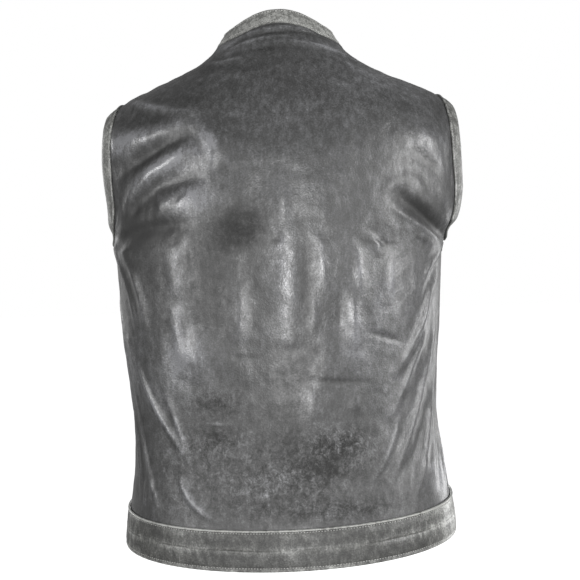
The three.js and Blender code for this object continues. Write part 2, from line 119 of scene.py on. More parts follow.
# How far the corner under the arm is drawn up and out, and how the right band stands out above it
UNDERARM_SHARE = 0.76
UNDERARM_LIFT = 10
UNDERARM_LIFT_TALL = 22
UNDERARM_OUT = 2
UNDERARM_OUT_TALL = 8
RIGHT_BAND_OUT = 5.5
RIGHT_BAND_TALL = 40
RIGHT_BAND_Z = -198

# Hem band: its steps up and down, its waves and the painted light and shade that follow them, the
# uneven crease half way down, and how much lighter it is towards its ends
HEM_BAND_STEPS = 24
HEM_WAVE = 0.45
HEM_WAVE_SIZE = 19
HEM_SMALL_WAVE = 0.25
HEM_SMALL_WAVE_SIZE = 8
HEM_WAVE_PAINTED_LIGHT = 0.8
HEM_FACE_OFF = 3.0
HEM_CREASE_DOWN = 22.6
HEM_CREASE_HALF = 1.8
HEM_CREASE_LENGTH = 52
HEM_CREASE_SWAY = 1.6
HEM_CREASE_SWAY_SIZE = 46
LEFT_END_LIGHTER = 1.0
RIGHT_END_LIGHTER = 2.4
HEM_TOP_STITCH_DOWN = 3.6
HEM_LOW_STITCH_DOWN = 42.6

# Snaps
SNAP_RADIUS = 7.5
SNAP_COUNT = 6
SNAP_TOP_Z = -96
SNAP_BOTTOM_Z = -584
SNAP_OFF = 0.1
HEM_SNAP_OFF = 2.95

# Half a panel's width laid flat, how its folds taper, how wide their painted light and shade is,
# how they fade out, and the steps of its grid
FLAT_HALF_WIDTH = 255
FOLD_TAPER = 0.8
FOLD_TONE_WIDTH = 0.75
FOLD_FADE = 14
SHOULDER_DEPTH = 95
FAR_FROM_SEAM = 99
HALF_STEPS = 100
LAP_STEPS = 6
EDGE_STEPS = 8
BODY_STEPS = 120
ARMHOLE_STEPS = 44
YOKE_STEPS = 62
YOKE_EASE = 16
YOKE_ROUNDS = 40
ON_SEAM = 0.999

# The body at one height: half width, depth in the middle, degrees that the panel sweeps round from
# the middle to its edge, and the power of its section, which is fuller where that is smaller
Level = namedtuple("Level", "z half mid sweep full")
BACK_LEVELS = [
    Level(-140, 233, 127, 62.5, 0.95),
    Level(-170, 228.5, 129, 64, 0.92),
    Level(-200, 220, 129.5, 67.8, 0.88),
    Level(-226, 212, 129, 74.7, 0.86),
    Level(-242, 206, 128.5, 81, 0.86),
    Level(-249, 204.5, 128.25, 86, 0.86),
    Level(-252, 204, 128.13, 90, 0.86),
    Level(-275, 202, 127.1, 90, 0.86),
    Level(-310, 199.5, 125, 90, 0.86),
    Level(-350, 197.5, 121, 90, 0.86),
    Level(-390, 194, 117.5, 90, 0.86),
    Level(-430, 190.5, 114, 90, 0.86),
    Level(-465, 189, 112.5, 90, 0.86),
    Level(-500, 191, 114.5, 90, 0.86),
    Level(-535, 195.5, 118, 90, 0.88),
    Level(-561, 199.5, 121, 90, 0.92),
    Level(-573, 201, 122, 90, 0.94),
    Level(-590, 203, 123, 90, 0.96),
    Level(-608, 204.5, 124, 90, 1.0),
]
FRONT_LEVELS = [
    Level(-140, 209, 119, 66.4, 0.95),
    Level(-170, 210.5, 121.5, 66, 0.92),
    Level(-200, 209, 124.5, 69.7, 0.88),
    Level(-226, 206.5, 126, 76.1, 0.86),
    Level(-242, 204.8, 126.3, 82, 0.86),
    Level(-249, 204.2, 126.35, 86.3, 0.86),
    Level(-252, 204, 126.33, 90, 0.86),
    Level(-275, 202, 125.4, 90, 0.86),
    Level(-310, 199.5, 122.6, 90, 0.86),
    Level(-350, 197.5, 118.4, 90, 0.86),
    Level(-390, 194, 115, 90, 0.86),
    Level(-430, 190.5, 113, 90, 0.86),
    Level(-465, 189, 112, 90, 0.86),
    Level(-500, 191, 114, 90, 0.86),
    Level(-535, 195.5, 117, 90, 0.88),
    Level(-561, 199.5, 119.5, 90, 0.92),
    Level(-573, 201, 120.5, 90, 0.94),
    Level(-590, 203, 121.5, 90, 0.96),
    Level(-608, 204.5, 122.5, 90, 1.0),
]

# A fold runs from one place on the flat panel over a middle place to another: u across from the
# middle towards the wearer's left, z up. A negative lift is a trough. The last column is how much
# lighter its crest is, partly rubbed wear and partly painted highlight; a negative one paints shade
# into a trough.
Fold = namedtuple("Fold", "u0 z0 um zm u1 z1 width lift worn")
BACK_FOLDS = [
    # drag lines from the left shoulder and armhole
    Fold(240, -62, 150, -87, 92, -97, 6, 2.8, 1.8),
    Fold(246, -92, 176, -102, 112, -92, 13, -3.4, -0.8),
    Fold(268, -124, 176, -116, 92, -100, 17, 6.4, 1.6),
    Fold(244, -166, 168, -141, 98, -113, 12, -6.0, -2.2),
    Fold(222, -206, 164, -160, 92, -134, 13, 5.6, 1.6),
    Fold(108, -104, 86, -124, 82, -166, 12, 3.6, 1.4),
    Fold(106, -118, 101, -130, 97, -146, 3.5, -1.8, -0.6),
    Fold(222, -216, 150, -180, 84, -172, 12, -3.4, -1.0),
    Fold(176, -204, 124, -190, 70, -176, 9, 1.4, 0.2),
    Fold(134, -202, 124, -193, 110, -182, 3.5, -1.4, -0.5),
    Fold(160, -208, 122, -199, 82, -206, 16, 3.0, 0.5),
    Fold(226, -240, 160, -228, 92, -226, 9, -3.0, -1.2),
    Fold(158, -180, 152, -196, 146, -214, 4, 1.0, 0.4),
    # left side
    Fold(250, -236, 199, -280, 170, -352, 6, 3.4, 0.7),
    Fold(204, -240, 164, -293, 152, -354, 6, 2.6, 0.5),
    Fold(228, -262, 186, -300, 166, -350, 8, -2.4, -0.4),
    Fold(246, -300, 222, -350, 214, -410, 5, 2.0, 0.5),
    Fold(200, -352, 188, -384, 182, -428, 5, 2.4, 0.5),
    Fold(180, -384, 167, -410, 154, -434, 4, 2.0, 0.5),
    Fold(178, -396, 142, -453, 100, -505, 4, 2.2, 1.6),
    Fold(132, -420, 115, -470, 104, -498, 5, 2.0, 1.8),
    Fold(204, -402, 192, -465, 146, -560, 3.5, 2.2, 1.6),
    Fold(226, -410, 212, -480, 182, -560, 3.5, 1.8, 1.2),
    Fold(212, -440, 200, -490, 172, -550, 9, -1.6, -0.5),
    Fold(120, -514, 100, -548, 66, -570, 5, 2.4, 1.8),
    Fold(181, -526, 179, -542, 177, -560, 2.6, 1.6, 0.9),
    Fold(164, -522, 165, -538, 168, -558, 2.6, 1.4, 0.9),
    Fold(40, -548, 23, -538, 6, -522, 6, 1.6, 0.9),
    # right shoulder and armhole
    Fold(-250, -136, -214, -130, -172, -122, 14, 1.6, 0.2),
    Fold(-146, -108, -194, -131, -240, -172, 22, 2.8, 0.4),
    Fold(-158, -138, -190, -155, -232, -180, 10, -1.8, -0.8),
    Fold(-112, -204, -140, -180, -196, -196, 8, 1.4, 0.1),
    Fold(-132, -192, -180, -219, -252, -258, 11, -7.0, -2.2),
    Fold(-132, -212, -172, -230, -240, -256, 4, 1.8, 0.7),
    Fold(-228, -232, -196, -246, -160, -248, 14, 3.0, 0.2),
    Fold(-96, -238, -97, -250, -99, -268, 6, 2.0, 0.8),
    # right side
    Fold(-240, -254, -182, -278, -160, -330, 6, 2.8, 0.8),
    Fold(-214, -286, -180, -318, -166, -364, 6, 2.2, 0.6),
    Fold(-200, -276, -172, -300, -156, -334, 8, -2.0, -0.3),
    Fold(-188, -294, -166, -345, -118, -410, 6, 2.6, 0.5),
    Fold(-204, -340, -166, -438, -96, -540, 6, 2.6, 0.6),
    Fold(-186, -330, -150, -400, -112, -460, 5, 2.0, 0.6),
    Fold(-192, -420, -168, -468, -132, -520, 8, -2.2, -0.4),
    Fold(-214, -394, -190, -465, -150, -542, 5.5, 2.6, 0.5),
    Fold(-128, -458, -103, -503, -72, -542, 5, 2.2, 0.7),
    Fold(-230, -420, -212, -490, -186, -556, 7, -2.4, -0.4),
    Fold(-236, -470, -222, -520, -214, -558, 4, 2.0, 0.6),
    # soft upright ridges of the middle, a little slack in the seat of the back
    Fold(2, -160, 0, -202, -3, -246, 8, 1.6, 0.4),
    Fold(-5, -226, -8, -292, -6, -372, 13, 2.6, 0.4),
    Fold(-38, -238, -42, -272, -44, -306, 5, 1.6, 0.5),
    Fold(-74, -254, -79, -288, -84, -326, 6, 2.0, 0.6),
    Fold(36, -290, 36, -326, 41, -362, 6, 1.8, 0.5),
    Fold(-32, -306, -32, -334, -30, -358, 5, 1.4, 0.4),
    Fold(-72, -300, -74, -336, -74, -374, 7, 2.2, 0.6),
    Fold(-112, -262, -112, -292, -110, -326, 8, 1.8, 0.3),
    Fold(112, -246, 108, -276, 106, -312, 8, 2.2, 0.4),
    Fold(112, -312, 105, -350, 100, -392, 9, 2.2, 0.3),
    Fold(86, -340, 86, -374, 88, -410, 8, 1.8, 0.3),
    Fold(-24, -410, -27, -434, -26, -458, 7, 1.4, 0.3),
    Fold(-70, -414, -73, -432, -76, -452, 7, 1.4, 0.3),
    Fold(22, -250, 25, -300, 24, -356, 9, -1.0, -0.4),
    Fold(-24, -240, -25, -280, -24, -330, 7, -0.8, -0.4),
    Fold(60, -280, 60, -320, 62, -370, 9, -1.8, -0.2),
    Fold(-56, -300, -56, -330, -55, -366, 6, -1.4, -0.2),
    # short creases, a scar and the neck's small folds
    Fold(50, -379, 34, -380, 18, -379, 3, -1.0, -0.4),
    Fold(-28, -407, -60, -411, -92, -412, 3, -1.2, -1.2),
    Fold(-84, -352, -110, -361, -134, -367, 3.5, -1.2, -0.4),
    Fold(92, -454, 68, -455, 44, -454, 1.5, 0.5, 1.8),
    Fold(1, -236, 2, -242, 1, -249, 5, -1.2, -0.3),
    Fold(-103, -246, -104, -252, -103, -259, 5, -1.2, -0.3),
    Fold(58, -8, 2, 10, -60, 1, 2.2, 1.6, 1.4),
    Fold(64, -15, 2, 4, -66, -6, 2.0, -1.4, -1.2),
    Fold(66, -20, 20, -4, -30, -3, 2.0, 1.2, 1.0),
    Fold(20, -10, -24, -9, -80, -24, 2.0, 1.2, 1.0),
    Fold(70, -28, 10, -17, -50, -20, 2.4, -0.8, -0.6),
    Fold(-30, -10, -65, -16, -116, -30, 2.6, 1.4, 1.2),
    Fold(-44, -22, -80, -32, -130, -52, 3, 1.2, 0.9),
    Fold(96, -30, 58, -29, 30, -24, 3, 1.4, 1.6),
    Fold(84, -22, 60, -20, 36, -13, 2, 1.0, 1.2),
    Fold(112, -44, 60, -38, 20, -42, 6, -1.2, -0.5),
    Fold(118, -56, 76, -48, 30, -52, 4, 1.0, 0.5),
]
FRONT_LEFT_FOLDS = [
    Fold(236, -250, 186, -309, 150, -360, 10, 4.2, 0.3),
    Fold(200, -236, 160, -262, 118, -300, 9, 3, 0.3),
    Fold(214, -262, 176, -300, 150, -344, 8, -2.6, -0.2),
    Fold(214, -392, 178, -452, 132, -520, 9, 4.4, 0.6),
    Fold(176, -430, 128, -482, 92, -540, 8, 3, 0.5),
    Fold(196, -450, 160, -500, 120, -552, 8, -2.4, -0.2),
    Fold(216, -160, 160, -168, 104, -196, 9, 3.6, 0.3),
    Fold(232, -112, 170, -104, 110, -112, 9, 3.2, 0.3),
    Fold(220, -136, 166, -134, 112, -150, 9, -3.0, -0.2),
    Fold(96, -232, 92, -286, 96, -344, 9, 1.6, 0.1),
    Fold(58, -276, 56, -330, 60, -392, 8, 1.5, 0.1),
    Fold(104, -384, 98, -430, 102, -480, 9, 1.5, 0.1),
]
FRONT_RIGHT_FOLDS = [
    Fold(-228, -258, -188, -302, -160, -342, 9, 3.6, 0.3),
    Fold(-206, -240, -152, -272, -104, -292, 10, 3.5, 0.3),
    Fold(-214, -280, -178, -312, -150, -352, 8, -2.4, -0.2),
    Fold(-208, -370, -184, -452, -146, -530, 9, 4.4, 0.6),
    Fold(-168, -418, -118, -472, -80, -536, 8, 3, 0.5),
    Fold(-190, -430, -160, -482, -112, -540, 8, -2.4, -0.2),
    Fold(-206, -136, -160, -166, -110, -206, 9, 3.4, 0.3),
    Fold(-236, -118, -180, -108, -118, -116, 9, 3.0, 0.3),
    Fold(-222, -156, -176, -164, -124, -186, 8, -2.6, -0.2),
    Fold(-88, -248, -84, -300, -88, -360, 9, 1.6, 0.1),
    Fold(-52, -300, -54, -348, -50, -400, 8, 1.5, 0.1),
    Fold(-98, -400, -92, -440, -96, -486, 9, 1.5, 0.1),
]

# Soft patches that make the leather lighter or darker: middle, half sizes and tone. On the back
# some are dirt, and most are painted highlights and painted shade
Patch = namedtuple("Patch", "u z wide tall tone")
BACK_DIRT_AND_PAINTED_LIGHT = [
    # smudge under the left shoulder blade and two dark spots of the lower back
    Patch(44, -231, 25, 23, -3.2), Patch(66, -432, 24, 10, -1.1), Patch(-34, -512, 16, 10, -1.4),
    # painted highlights on the folds of the shoulders and painted shade in the creases between them
    Patch(104, -197, 30, 20, 1.9), Patch(-210, -140, 44, 26, 0.8), Patch(128, -156, 34, 16, 1.2),
    Patch(96, -132, 14, 26, 1.0), Patch(150, -234, 60, 12, -1.6), Patch(-184, -212, 34, 12, -1.0),
    # painted highlights down the upright ridges of the middle, and darker and lighter tones between them
    Patch(-5, -285, 8, 75, 1.0), Patch(-72, -336, 11, 28, 0.8), Patch(-77, -276, 4, 20, 1.1),
    Patch(-116, -290, 6, 32, 1.5), Patch(-39, -268, 4, 24, 0.7), Patch(-100, -322, 8, 20, 0.8),
    Patch(-32, -420, 7, 20, 0.5), Patch(-24, -290, 7, 70, -0.6), Patch(18, -280, 8, 70, -0.4),
    Patch(-150, -400, 50, 110, 0.4), Patch(130, -316, 20, 48, -0.7), Patch(100, -262, 8, 26, 1.0),
    Patch(103, -320, 9, 40, 1.2), Patch(64, -272, 34, 22, -0.7),
    # painted shade over the left side and in its creases, with a few places painted lighter
    Patch(188, -262, 46, 44, -2.0), Patch(186, -212, 32, 17, -1.8), Patch(204, -330, 24, 50, -0.8),
    Patch(117, -396, 15, 30, 1.2), Patch(190, -490, 24, 60, -0.8), Patch(150, -80, 70, 22, -0.3),
    # the lower back
    Patch(0, -490, 130, 80, -0.6), Patch(70, -464, 30, 16, -0.7), Patch(-48, -506, 18, 12, -1.0),
    Patch(-26, -446, 12, 28, 0.8), Patch(8, -520, 34, 14, 0.5), Patch(22, -536, 20, 10, 0.4),
    Patch(146, -430, 16, 24, 0.7), Patch(104, -540, 20, 16, 0.8), Patch(-112, -470, 14, 40, 0.7),
    # neck, middle, waist and both edges, with painted light on the right shoulder and along the edges,
    # and painted shade just above the hem band
    Patch(-20, -180, 70, 40, 0.3), Patch(66, -320, 26, 60, -0.7), Patch(-150, -50, 60, 30, 1.2),
    Patch(60, -6, 30, 10, 1.2), Patch(-60, -12, 30, 8, 1.0), Patch(0, -100, 70, 24, 0.4),
    Patch(36, -346, 9, 34, 0.9), Patch(-60, -300, 66, 60, 0.4), Patch(-78, -378, 28, 32, 1.5),
    Patch(90, -372, 28, 34, 1.7), Patch(204, -392, 26, 40, 0.9), Patch(4, -468, 26, 50, -0.9),
    Patch(96, -100, 40, 30, -0.4), Patch(-220, -320, 20, 90, 0.4), Patch(226, -128, 34, 14, 1.2),
    Patch(180, -56, 40, 12, 0.5), Patch(-24, -380, 30, 30, -0.2), Patch(0, -556, 150, 26, -0.5),
    Patch(-206, -536, 30, 36, 2.2), Patch(234, -392, 18, 60, 1.2), Patch(250, -300, 10, 40, 0.8),
]
# The fronts: a few faint lighter and darker places
FRONT_PATCHES = [
    Patch(0, -260, 60, 90, 0.15), Patch(150, -420, 40, 80, -0.2), Patch(-150, -430, 40, 80, -0.15),
    Patch(90, -150, 50, 30, -0.15), Patch(-100, -330, 40, 50, 0.15),
]

# Places where the finish is finely crumpled: tone is how strongly
BACK_CRACKS = [
    Patch(70, -432, 34, 16, 1.0), Patch(70, -480, 40, 24, 0.9), Patch(-40, -500, 60, 34, 1.0),
    Patch(30, -526, 70, 24, 0.8), Patch(-57, -478, 40, 18, 0.7), Patch(0, -556, 110, 14, 0.6),
    Patch(44, -231, 28, 24, 1.0), Patch(-60, -560, 50, 12, 0.6), Patch(130, -300, 40, 60, 0.3),
    Patch(-150, -230, 40, 24, 0.4), Patch(0, -90, 150, 30, 0.3), Patch(130, -500, 40, 50, 0.5),
]
FRONT_CRACKS = [Patch(0, -480, 150, 60, 0.5), Patch(0, -120, 120, 30, 0.3)]

# Small unevenness of every panel: height, size, and how many times taller than wide it is
Dents = namedtuple("Dents", "height size tall")
PANEL_DENTS = [Dents(0.8, 34, 1), Dents(0.35, 14, 1), Dents(0.16, 6.5, 1), Dents(0.7, 17, 4)]
# How much the dents paint the colour: lighter on their bumps and darker in their dips, as painted light and
# shade
DENT_PAINTED_LIGHT = 0.2


def ease(value):
    """From 0 to 1 with a soft start and end."""
    t = np.clip(value, 0.0, 1.0)
    return t * t * (3 - 2 * t)


def unit(vectors):
    """The same directions, each 1 long."""
    length = np.linalg.norm(vectors, axis=-1, keepdims=True)
    return vectors / np.maximum(length, 1e-9)


def level_curve(levels, column, z):
    """One column of the levels at any height, as a smooth curve."""
    at = np.array([level.z for level in levels], float)
    value = np.array([getattr(level, column) for level in levels], float)
    last = len(at) - 1
    below = np.minimum(np.arange(last + 1) + 1, last)
    above = np.maximum(np.arange(last + 1) - 1, 0)
    slope = (value[below] - value[above]) / (at[below] - at[above])
    i = np.clip(np.searchsorted(-at[1:], -z, side="left"), 0, last - 1)
    step = at[i + 1] - at[i]
    t = (z - at[i]) / step
    rise = value[i + 1] - value[i]
    bend0 = step * slope[i] - rise
    bend1 = rise - step * slope[i + 1]
    return value[i] + t * rise + t * (1 - t) * ((1 - t) * bend0 + t * bend1)


# The form of the panels, on the same levels and seams as the solids
def neck_seam(depth_y, height_z):
    """The neck seam of a panel, from its middle to the shoulder seam, at any share of the way."""
    def seam(share):
        angle = share * math.pi / 2
        x = NECK_HALF_WIDTH * np.sin(angle)
        y = NECK_SIDE_Y + (depth_y - NECK_SIDE_Y) * np.cos(angle)
        return np.stack([x, y, height_z(x, angle)], -1)
    return seam


def shoulder_seam(share):
    """The shoulder seam, from the neck to the tip, hollowed a little."""
    x = NECK_HALF_WIDTH + (SHOULDER_TIP[0] - NECK_HALF_WIDTH) * share
    y = NECK_SIDE_Y + (SHOULDER_TIP[1] - NECK_SIDE_Y) * share
    hollow = SHOULDER_HOLLOW * np.sin(math.pi * share ** HOLLOW_POWER) * (1 - share)
    return np.stack([x, y, SHOULDER_TIP[2] * share - hollow], -1)


Panel = namedtuple("Panel", "levels facing neck")
BACK = Panel(BACK_LEVELS, 1, neck_seam(
    NECK_BACK_Y, lambda x, angle: NECK_BACK_Z * np.cos(math.pi / 2 * x / NECK_HALF_WIDTH) ** 2))
FRONT = Panel(FRONT_LEVELS, -1, neck_seam(
    NECK_FRONT_Y, lambda x, angle: NECK_FRONT_Z * np.cos(angle) ** 2))


def body_points(panel, across, level):
    """Points of a panel's face below the yoke, a row for each level."""
    row = {c: level_curve(panel.levels, c, level)[:, None] for c in ("half", "mid", "sweep", "full")}
    angle = across[None, :] * np.radians(row["sweep"])
    bulge = np.maximum(np.cos(angle), 0) ** row["full"]
    x = row["half"] * np.sin(angle)
    y = panel.facing * np.maximum(row["mid"] * bulge, EDGE_GAP / 2)
    sway = SWAY * ease((SWAY_TOP_Z - level) / SWAY_EASE) * ease((level - SWAY_BOTTOM_Z) / SWAY_BOTTOM_EASE)
    near_hem = ease((TILT_TOP_Z - level) / (TILT_TOP_Z - BAND_TOP_Z))[:, None]
    z = level[:, None] - near_hem * (HEM_TILT * y + HEM_SIDE_TILT * x)
    return np.stack([x + sway[:, None], y, z], -1)


def yoke_points(panel, across, up):
    """Points of a panel's face above the yoke, which round over to the neck and shoulder seams."""
    side = np.abs(across)
    base = body_points(panel, across, np.array([float(YOKE_Z)]))
    neck = panel.neck(np.minimum(side / NECK_SHARE, 1))
    shoulder = shoulder_seam(np.clip((side - NECK_SHARE) / (1 - NECK_SHARE), 0, 1))
    top = np.where((side <= NECK_SHARE + 1e-6)[:, None], neck, shoulder)
    top[:, 0] *= np.sign(across)
    to_tip = np.clip((-across - NECK_SHARE) / (1 - NECK_SHARE), 0, 1)
    top[:, 2] += RIGHT_SHOULDER_LIFT * to_tip ** 2
    rounding = ease(side / ROUND_SHARE)[None, :]
    up = up[:, None]
    lean = up ** NECK_RISE_CURVE * (1 - rounding) + (1 - np.cos(up * math.pi / 2)) * rounding
    rise = up * (1 - rounding) + np.sin(up * math.pi / 2) * rounding
    point = np.empty(lean.shape + (3,))
    for axis, share in ((0, lean), (1, lean), (2, rise)):
        point[..., axis] = base[..., axis] * (1 - share) + top[None, :, axis] * share
    past_neck = (side > NECK_SHARE - 0.001)[None, :]
    point[..., 1] += np.where(past_neck, panel.facing * EDGE_GAP / 2 * up, 0)
    return point


def hem_level(points):
    """The level that each point would have if the hem were not tilted."""
    return points[..., 2] + HEM_TILT * points[..., 1] + HEM_SIDE_TILT * points[..., 0]


def fold_heights(folds, u, z):
    """Height of the folds at places on the flat panel, and how much lighter or darker each place is
    painted: rubbed wear and painted highlight on crests, painted shade in troughs.
    """
    height = np.zeros_like(u)
    worn = np.zeros_like(u)
    for fold in folds:
        length = math.hypot(fold.u1 - fold.u0, fold.z1 - fold.z0)
        du = (fold.u1 - fold.u0) / length
        dz = (fold.z1 - fold.z0) / length
        middle = ((fold.um - fold.u0) * du + (fold.zm - fold.z0) * dz) / length
        bow = ((fold.zm - fold.z0) * du - (fold.um - fold.u0) * dz) / (middle * (1 - middle))
        along = np.clip(((u - fold.u0) * du + (z - fold.z0) * dz) / length, 0, 1)
        off = (z - fold.z0) * du - (u - fold.u0) * dz - bow * along * (1 - along)
        taper = np.sin(math.pi * along) ** FOLD_TAPER
        height += fold.lift * taper * np.exp(-(off / fold.width) ** 2)
        worn += fold.worn * taper * np.exp(-(off / (FOLD_TONE_WIDTH * fold.width)) ** 2)
    return height, worn


def patch_tone(patches, u, z):
    """How much lighter or darker the patches make each place."""
    return sum(p.tone * np.exp(-((u - p.u) / p.wide) ** 2 - ((z - p.z) / p.tall) ** 2) for p in patches)


def outward(points, facing):
    """Outward directions of a grid whose rows run from the lower edge up."""
    across = np.gradient(points, axis=1)
    rising = np.gradient(points, axis=0)
    turn = -facing * np.sign(points[0, -1, 0] - points[0, 0, 0])
    return unit(np.cross(across, rising)) * turn


def crumple(u, z, size, seed, tall=1):
    """Soft uneven bumps of one size, from about -1 to 1; tall draws them out up and down."""
    flat = np.stack([u.ravel() / size, z.ravel() / size / tall, np.full(u.size, seed * 7.3)], -1)
    return np.array([noise.noise(Vector(p)) for p in flat]).reshape(u.shape)


def panel_surface(panel, across, folds, patches, cracks, seed):
    """A panel's face with its folds: points, outward directions, tone and cracked finish. The tone
    holds wear, dirt, painted highlights and painted shade.
    """
    below = np.linspace(PANEL_END_Z, UNDERARM_Z, BODY_STEPS)
    beside = np.linspace(UNDERARM_Z, YOKE_Z, ARMHOLE_STEPS)[1:]
    up = np.linspace(0, 1, YOKE_STEPS + 1)[1:]
    points = np.concatenate([
        body_points(panel, across, np.concatenate([below, beside])),
        yoke_points(panel, across, up),
    ])
    eased_yoke(points)
    smooth = outward(points, panel.facing)
    u = np.broadcast_to(across[None, :] * FLAT_HALF_WIDTH, points.shape[:2]).copy()
    z = points[..., 2]
    height, worn = fold_heights(folds, u, z)
    from_band = ease((hem_level(points) - BAND_TOP_Z) / FOLD_FADE)
    to_seam = ease((1 - np.abs(across)) * FLAT_HALF_WIDTH / FOLD_FADE)[None, :]
    height = height * from_band * to_seam
    dents = sum(d.height * crumple(u, z, d.size, seed + k, d.tall) for k, d in enumerate(PANEL_DENTS))
    height += dents * np.minimum(from_band, to_seam)
    to_edge = (1 - np.abs(across))[None, :] * FLAT_HALF_WIDTH + np.zeros_like(z)
    past_neck = (np.abs(across) > NECK_SHARE + 0.02)[None, :]
    to_shoulder = np.full_like(z, FAR_FROM_SEAM)
    to_shoulder[-YOKE_STEPS:] = np.where(past_neck, (1 - up)[:, None] * SHOULDER_DEPTH, FAR_FROM_SEAM)
    height -= SEAM_ROLL * np.exp(-(np.minimum(to_edge, to_shoulder) / SEAM_ROLL_WIDTH) ** 2)
    points = points + smooth * height[..., None] + underarm_pull(points, across)
    normals = outward(points, panel.facing)
    square_to_seams(normals, across)
    # Tone: wear and painted highlight on crests, painted shade in troughs, bumps painted lighter and dips
    # darker, and the patches of dirt and painted light
    tone = worn + DENT_PAINTED_LIGHT * dents + patch_tone(patches, u, z)
    return points, normals, tone, patch_tone(cracks, u, z)


def eased_yoke(points):
    """The rows about the yoke line, evened up and down so that no edge shows there."""
    yoke = len(points) - YOKE_STEPS - 1
    rows = points[yoke - YOKE_EASE:yoke + YOKE_EASE + 1].copy()
    for _ in range(YOKE_ROUNDS):
        rows[1:-1] = (rows[:-2] + 2 * rows[1:-1] + rows[2:]) / 4
    points[yoke - YOKE_EASE:yoke + YOKE_EASE + 1] = rows


def underarm_pull(points, across):
    """The corner under each arm is drawn up and a little out by the armhole band."""
    near_edge = ease((np.abs(across) - UNDERARM_SHARE) / (1 - UNDERARM_SHARE))[None, :]
    z = points[..., 2]
    lift = UNDERARM_LIFT * np.exp(-((z - UNDERARM_Z) / UNDERARM_LIFT_TALL) ** 2)
    out = UNDERARM_OUT * np.exp(-((z - UNDERARM_Z) / UNDERARM_OUT_TALL) ** 2) * np.sign(across)[None, :]
    right = RIGHT_BAND_OUT * np.exp(-((z - RIGHT_BAND_Z) / RIGHT_BAND_TALL) ** 2) * (across < 0)[None, :]
    return np.stack([(out - right) * near_edge, np.zeros_like(z), lift * near_edge], -1)


def square_to_seams(normals, across):
    """On the side and shoulder seams both panels face straight out, so that they meet edge to edge."""
    side = np.abs(across)
    on_side = np.zeros(normals.shape[:2], bool)
    on_side[:BODY_STEPS, side > ON_SEAM] = True
    on_side[-1, side > NECK_SHARE - 0.001] = True
    flat = normals.copy()
    flat[..., 1] = 0
    normals[on_side] = unit(flat)[on_side]


# Making meshes from points
def mark_points(mesh, name, values):
    """A number on each point of a mesh, which the materials read by its name."""
    mesh.attributes.new(name, "FLOAT", "POINT").data.foreach_set("value", np.float32(values))


def mesh_piece(name, points, faces, worn=None):
    """A new piece from points in millimetres, its faces turned outwards."""
    mesh = bpy.data.meshes.new(name)
    mesh.from_pydata((np.asarray(points) * MM).tolist(), [], faces)
    if worn is not None:
        mark_points(mesh, "worn", worn)
    shape = bmesh.new()
    shape.from_mesh(mesh)
    bmesh.ops.recalc_face_normals(shape, faces=shape.faces)
    shape.to_mesh(mesh)
    shape.free()
    piece = bpy.data.objects.new(name, mesh)
    bpy.context.scene.collection.objects.link(piece)
    mesh.shade_smooth()
    return piece


def grid_faces(rows, columns, start=0):
    """Faces between the points of a grid, counted row by row."""
    first = (np.arange(rows - 1)[:, None] * columns + np.arange(columns - 1)[None, :]).ravel() + start
    return np.stack([first, first + 1, first + columns + 1, first + columns], -1)


def wall_piece(name, outer, inner, worn):
    """A closed sheet of leather between an outer and an inner face."""
    rows, columns = outer.shape[:2]
    layer = rows * columns
    index = np.arange(layer).reshape(rows, columns)
    rim = np.concatenate([index[0, :], index[1:, -1], index[-1, -2::-1], index[-2:0:-1, 0]])
    after = np.roll(rim, -1)
    edge = np.stack([rim, after, after + layer, rim + layer], -1)
    faces = np.concatenate([grid_faces(rows, columns), grid_faces(rows, columns, layer)[:, ::-1], edge])
    points = np.concatenate([outer.reshape(-1, 3), inner.reshape(-1, 3)])
    return mesh_piece(name, points, faces.tolist(), np.concatenate([worn.ravel(), worn.ravel() * 0]))


def strip_piece(name, sections, worn, closed=False):
    """A folded strip: a row of closed sections, joined from end to end."""
    stations, around = sections.shape[:2]
    here = np.arange(stations if closed else stations - 1)[:, None] * around
    ahead = (here + around) % (stations * around)
    ring = np.arange(around)[None, :]
    turn = (ring + 1) % around
    sides = np.stack([here + ring, here + turn, ahead + turn, ahead + ring], -1).reshape(-1, 4)
    faces = sides.tolist()
    if not closed:
        faces.append(list(range(around))[::-1])
        faces.append(list(range((stations - 1) * around, stations * around)))
    return mesh_piece(name, sections.reshape(-1, 3), faces, worn.ravel())


# The three panels
def half_across():
    """Columns from the middle to the side seam, closer together where the seam rolls in."""
    wide = np.arange(HALF_STEPS - 2) / HALF_STEPS
    return np.concatenate([wide, np.linspace(wide[-1], 1, EDGE_STEPS + 1)[1:]])


BACK_ACROSS = np.concatenate([-half_across()[:0:-1], half_across()])
LEFT_ACROSS = np.concatenate([-half_across()[LAP_STEPS:0:-1], half_across()])
RIGHT_ACROSS = -LEFT_ACROSS


def lap_lift(points, across):
    """How far the left front stands off where it lies over the right one and its band."""
    near_hem = ease((LAP_STEP_TOP_Z - hem_level(points)) / (LAP_STEP_TOP_Z - LAP_STEP_END_Z))
    lift = LAP_LEATHER + SEAM_GAP + (BAND_LEATHER + SEAM_GAP) * near_hem
    return lift * ease(1 - (across[None, :] - LAP_SHARE) / LAP_FADE_SHARE)


def make_panel(name, panel, across, folds, patches, cracks, seed, laps=False):
    """One panel as a closed sheet, with its points and outward directions for the trims."""
    points, normals, worn, cracked = panel_surface(panel, across, folds, patches, cracks, seed)
    if laps:
        points = points + normals * lap_lift(points, across)[..., None]
    piece = wall_piece(name, points, points - normals * LEATHER, worn)
    mark_points(piece.data, "cracked", np.concatenate([cracked.ravel(), cracked.ravel() * 0]))
    return piece, points, normals


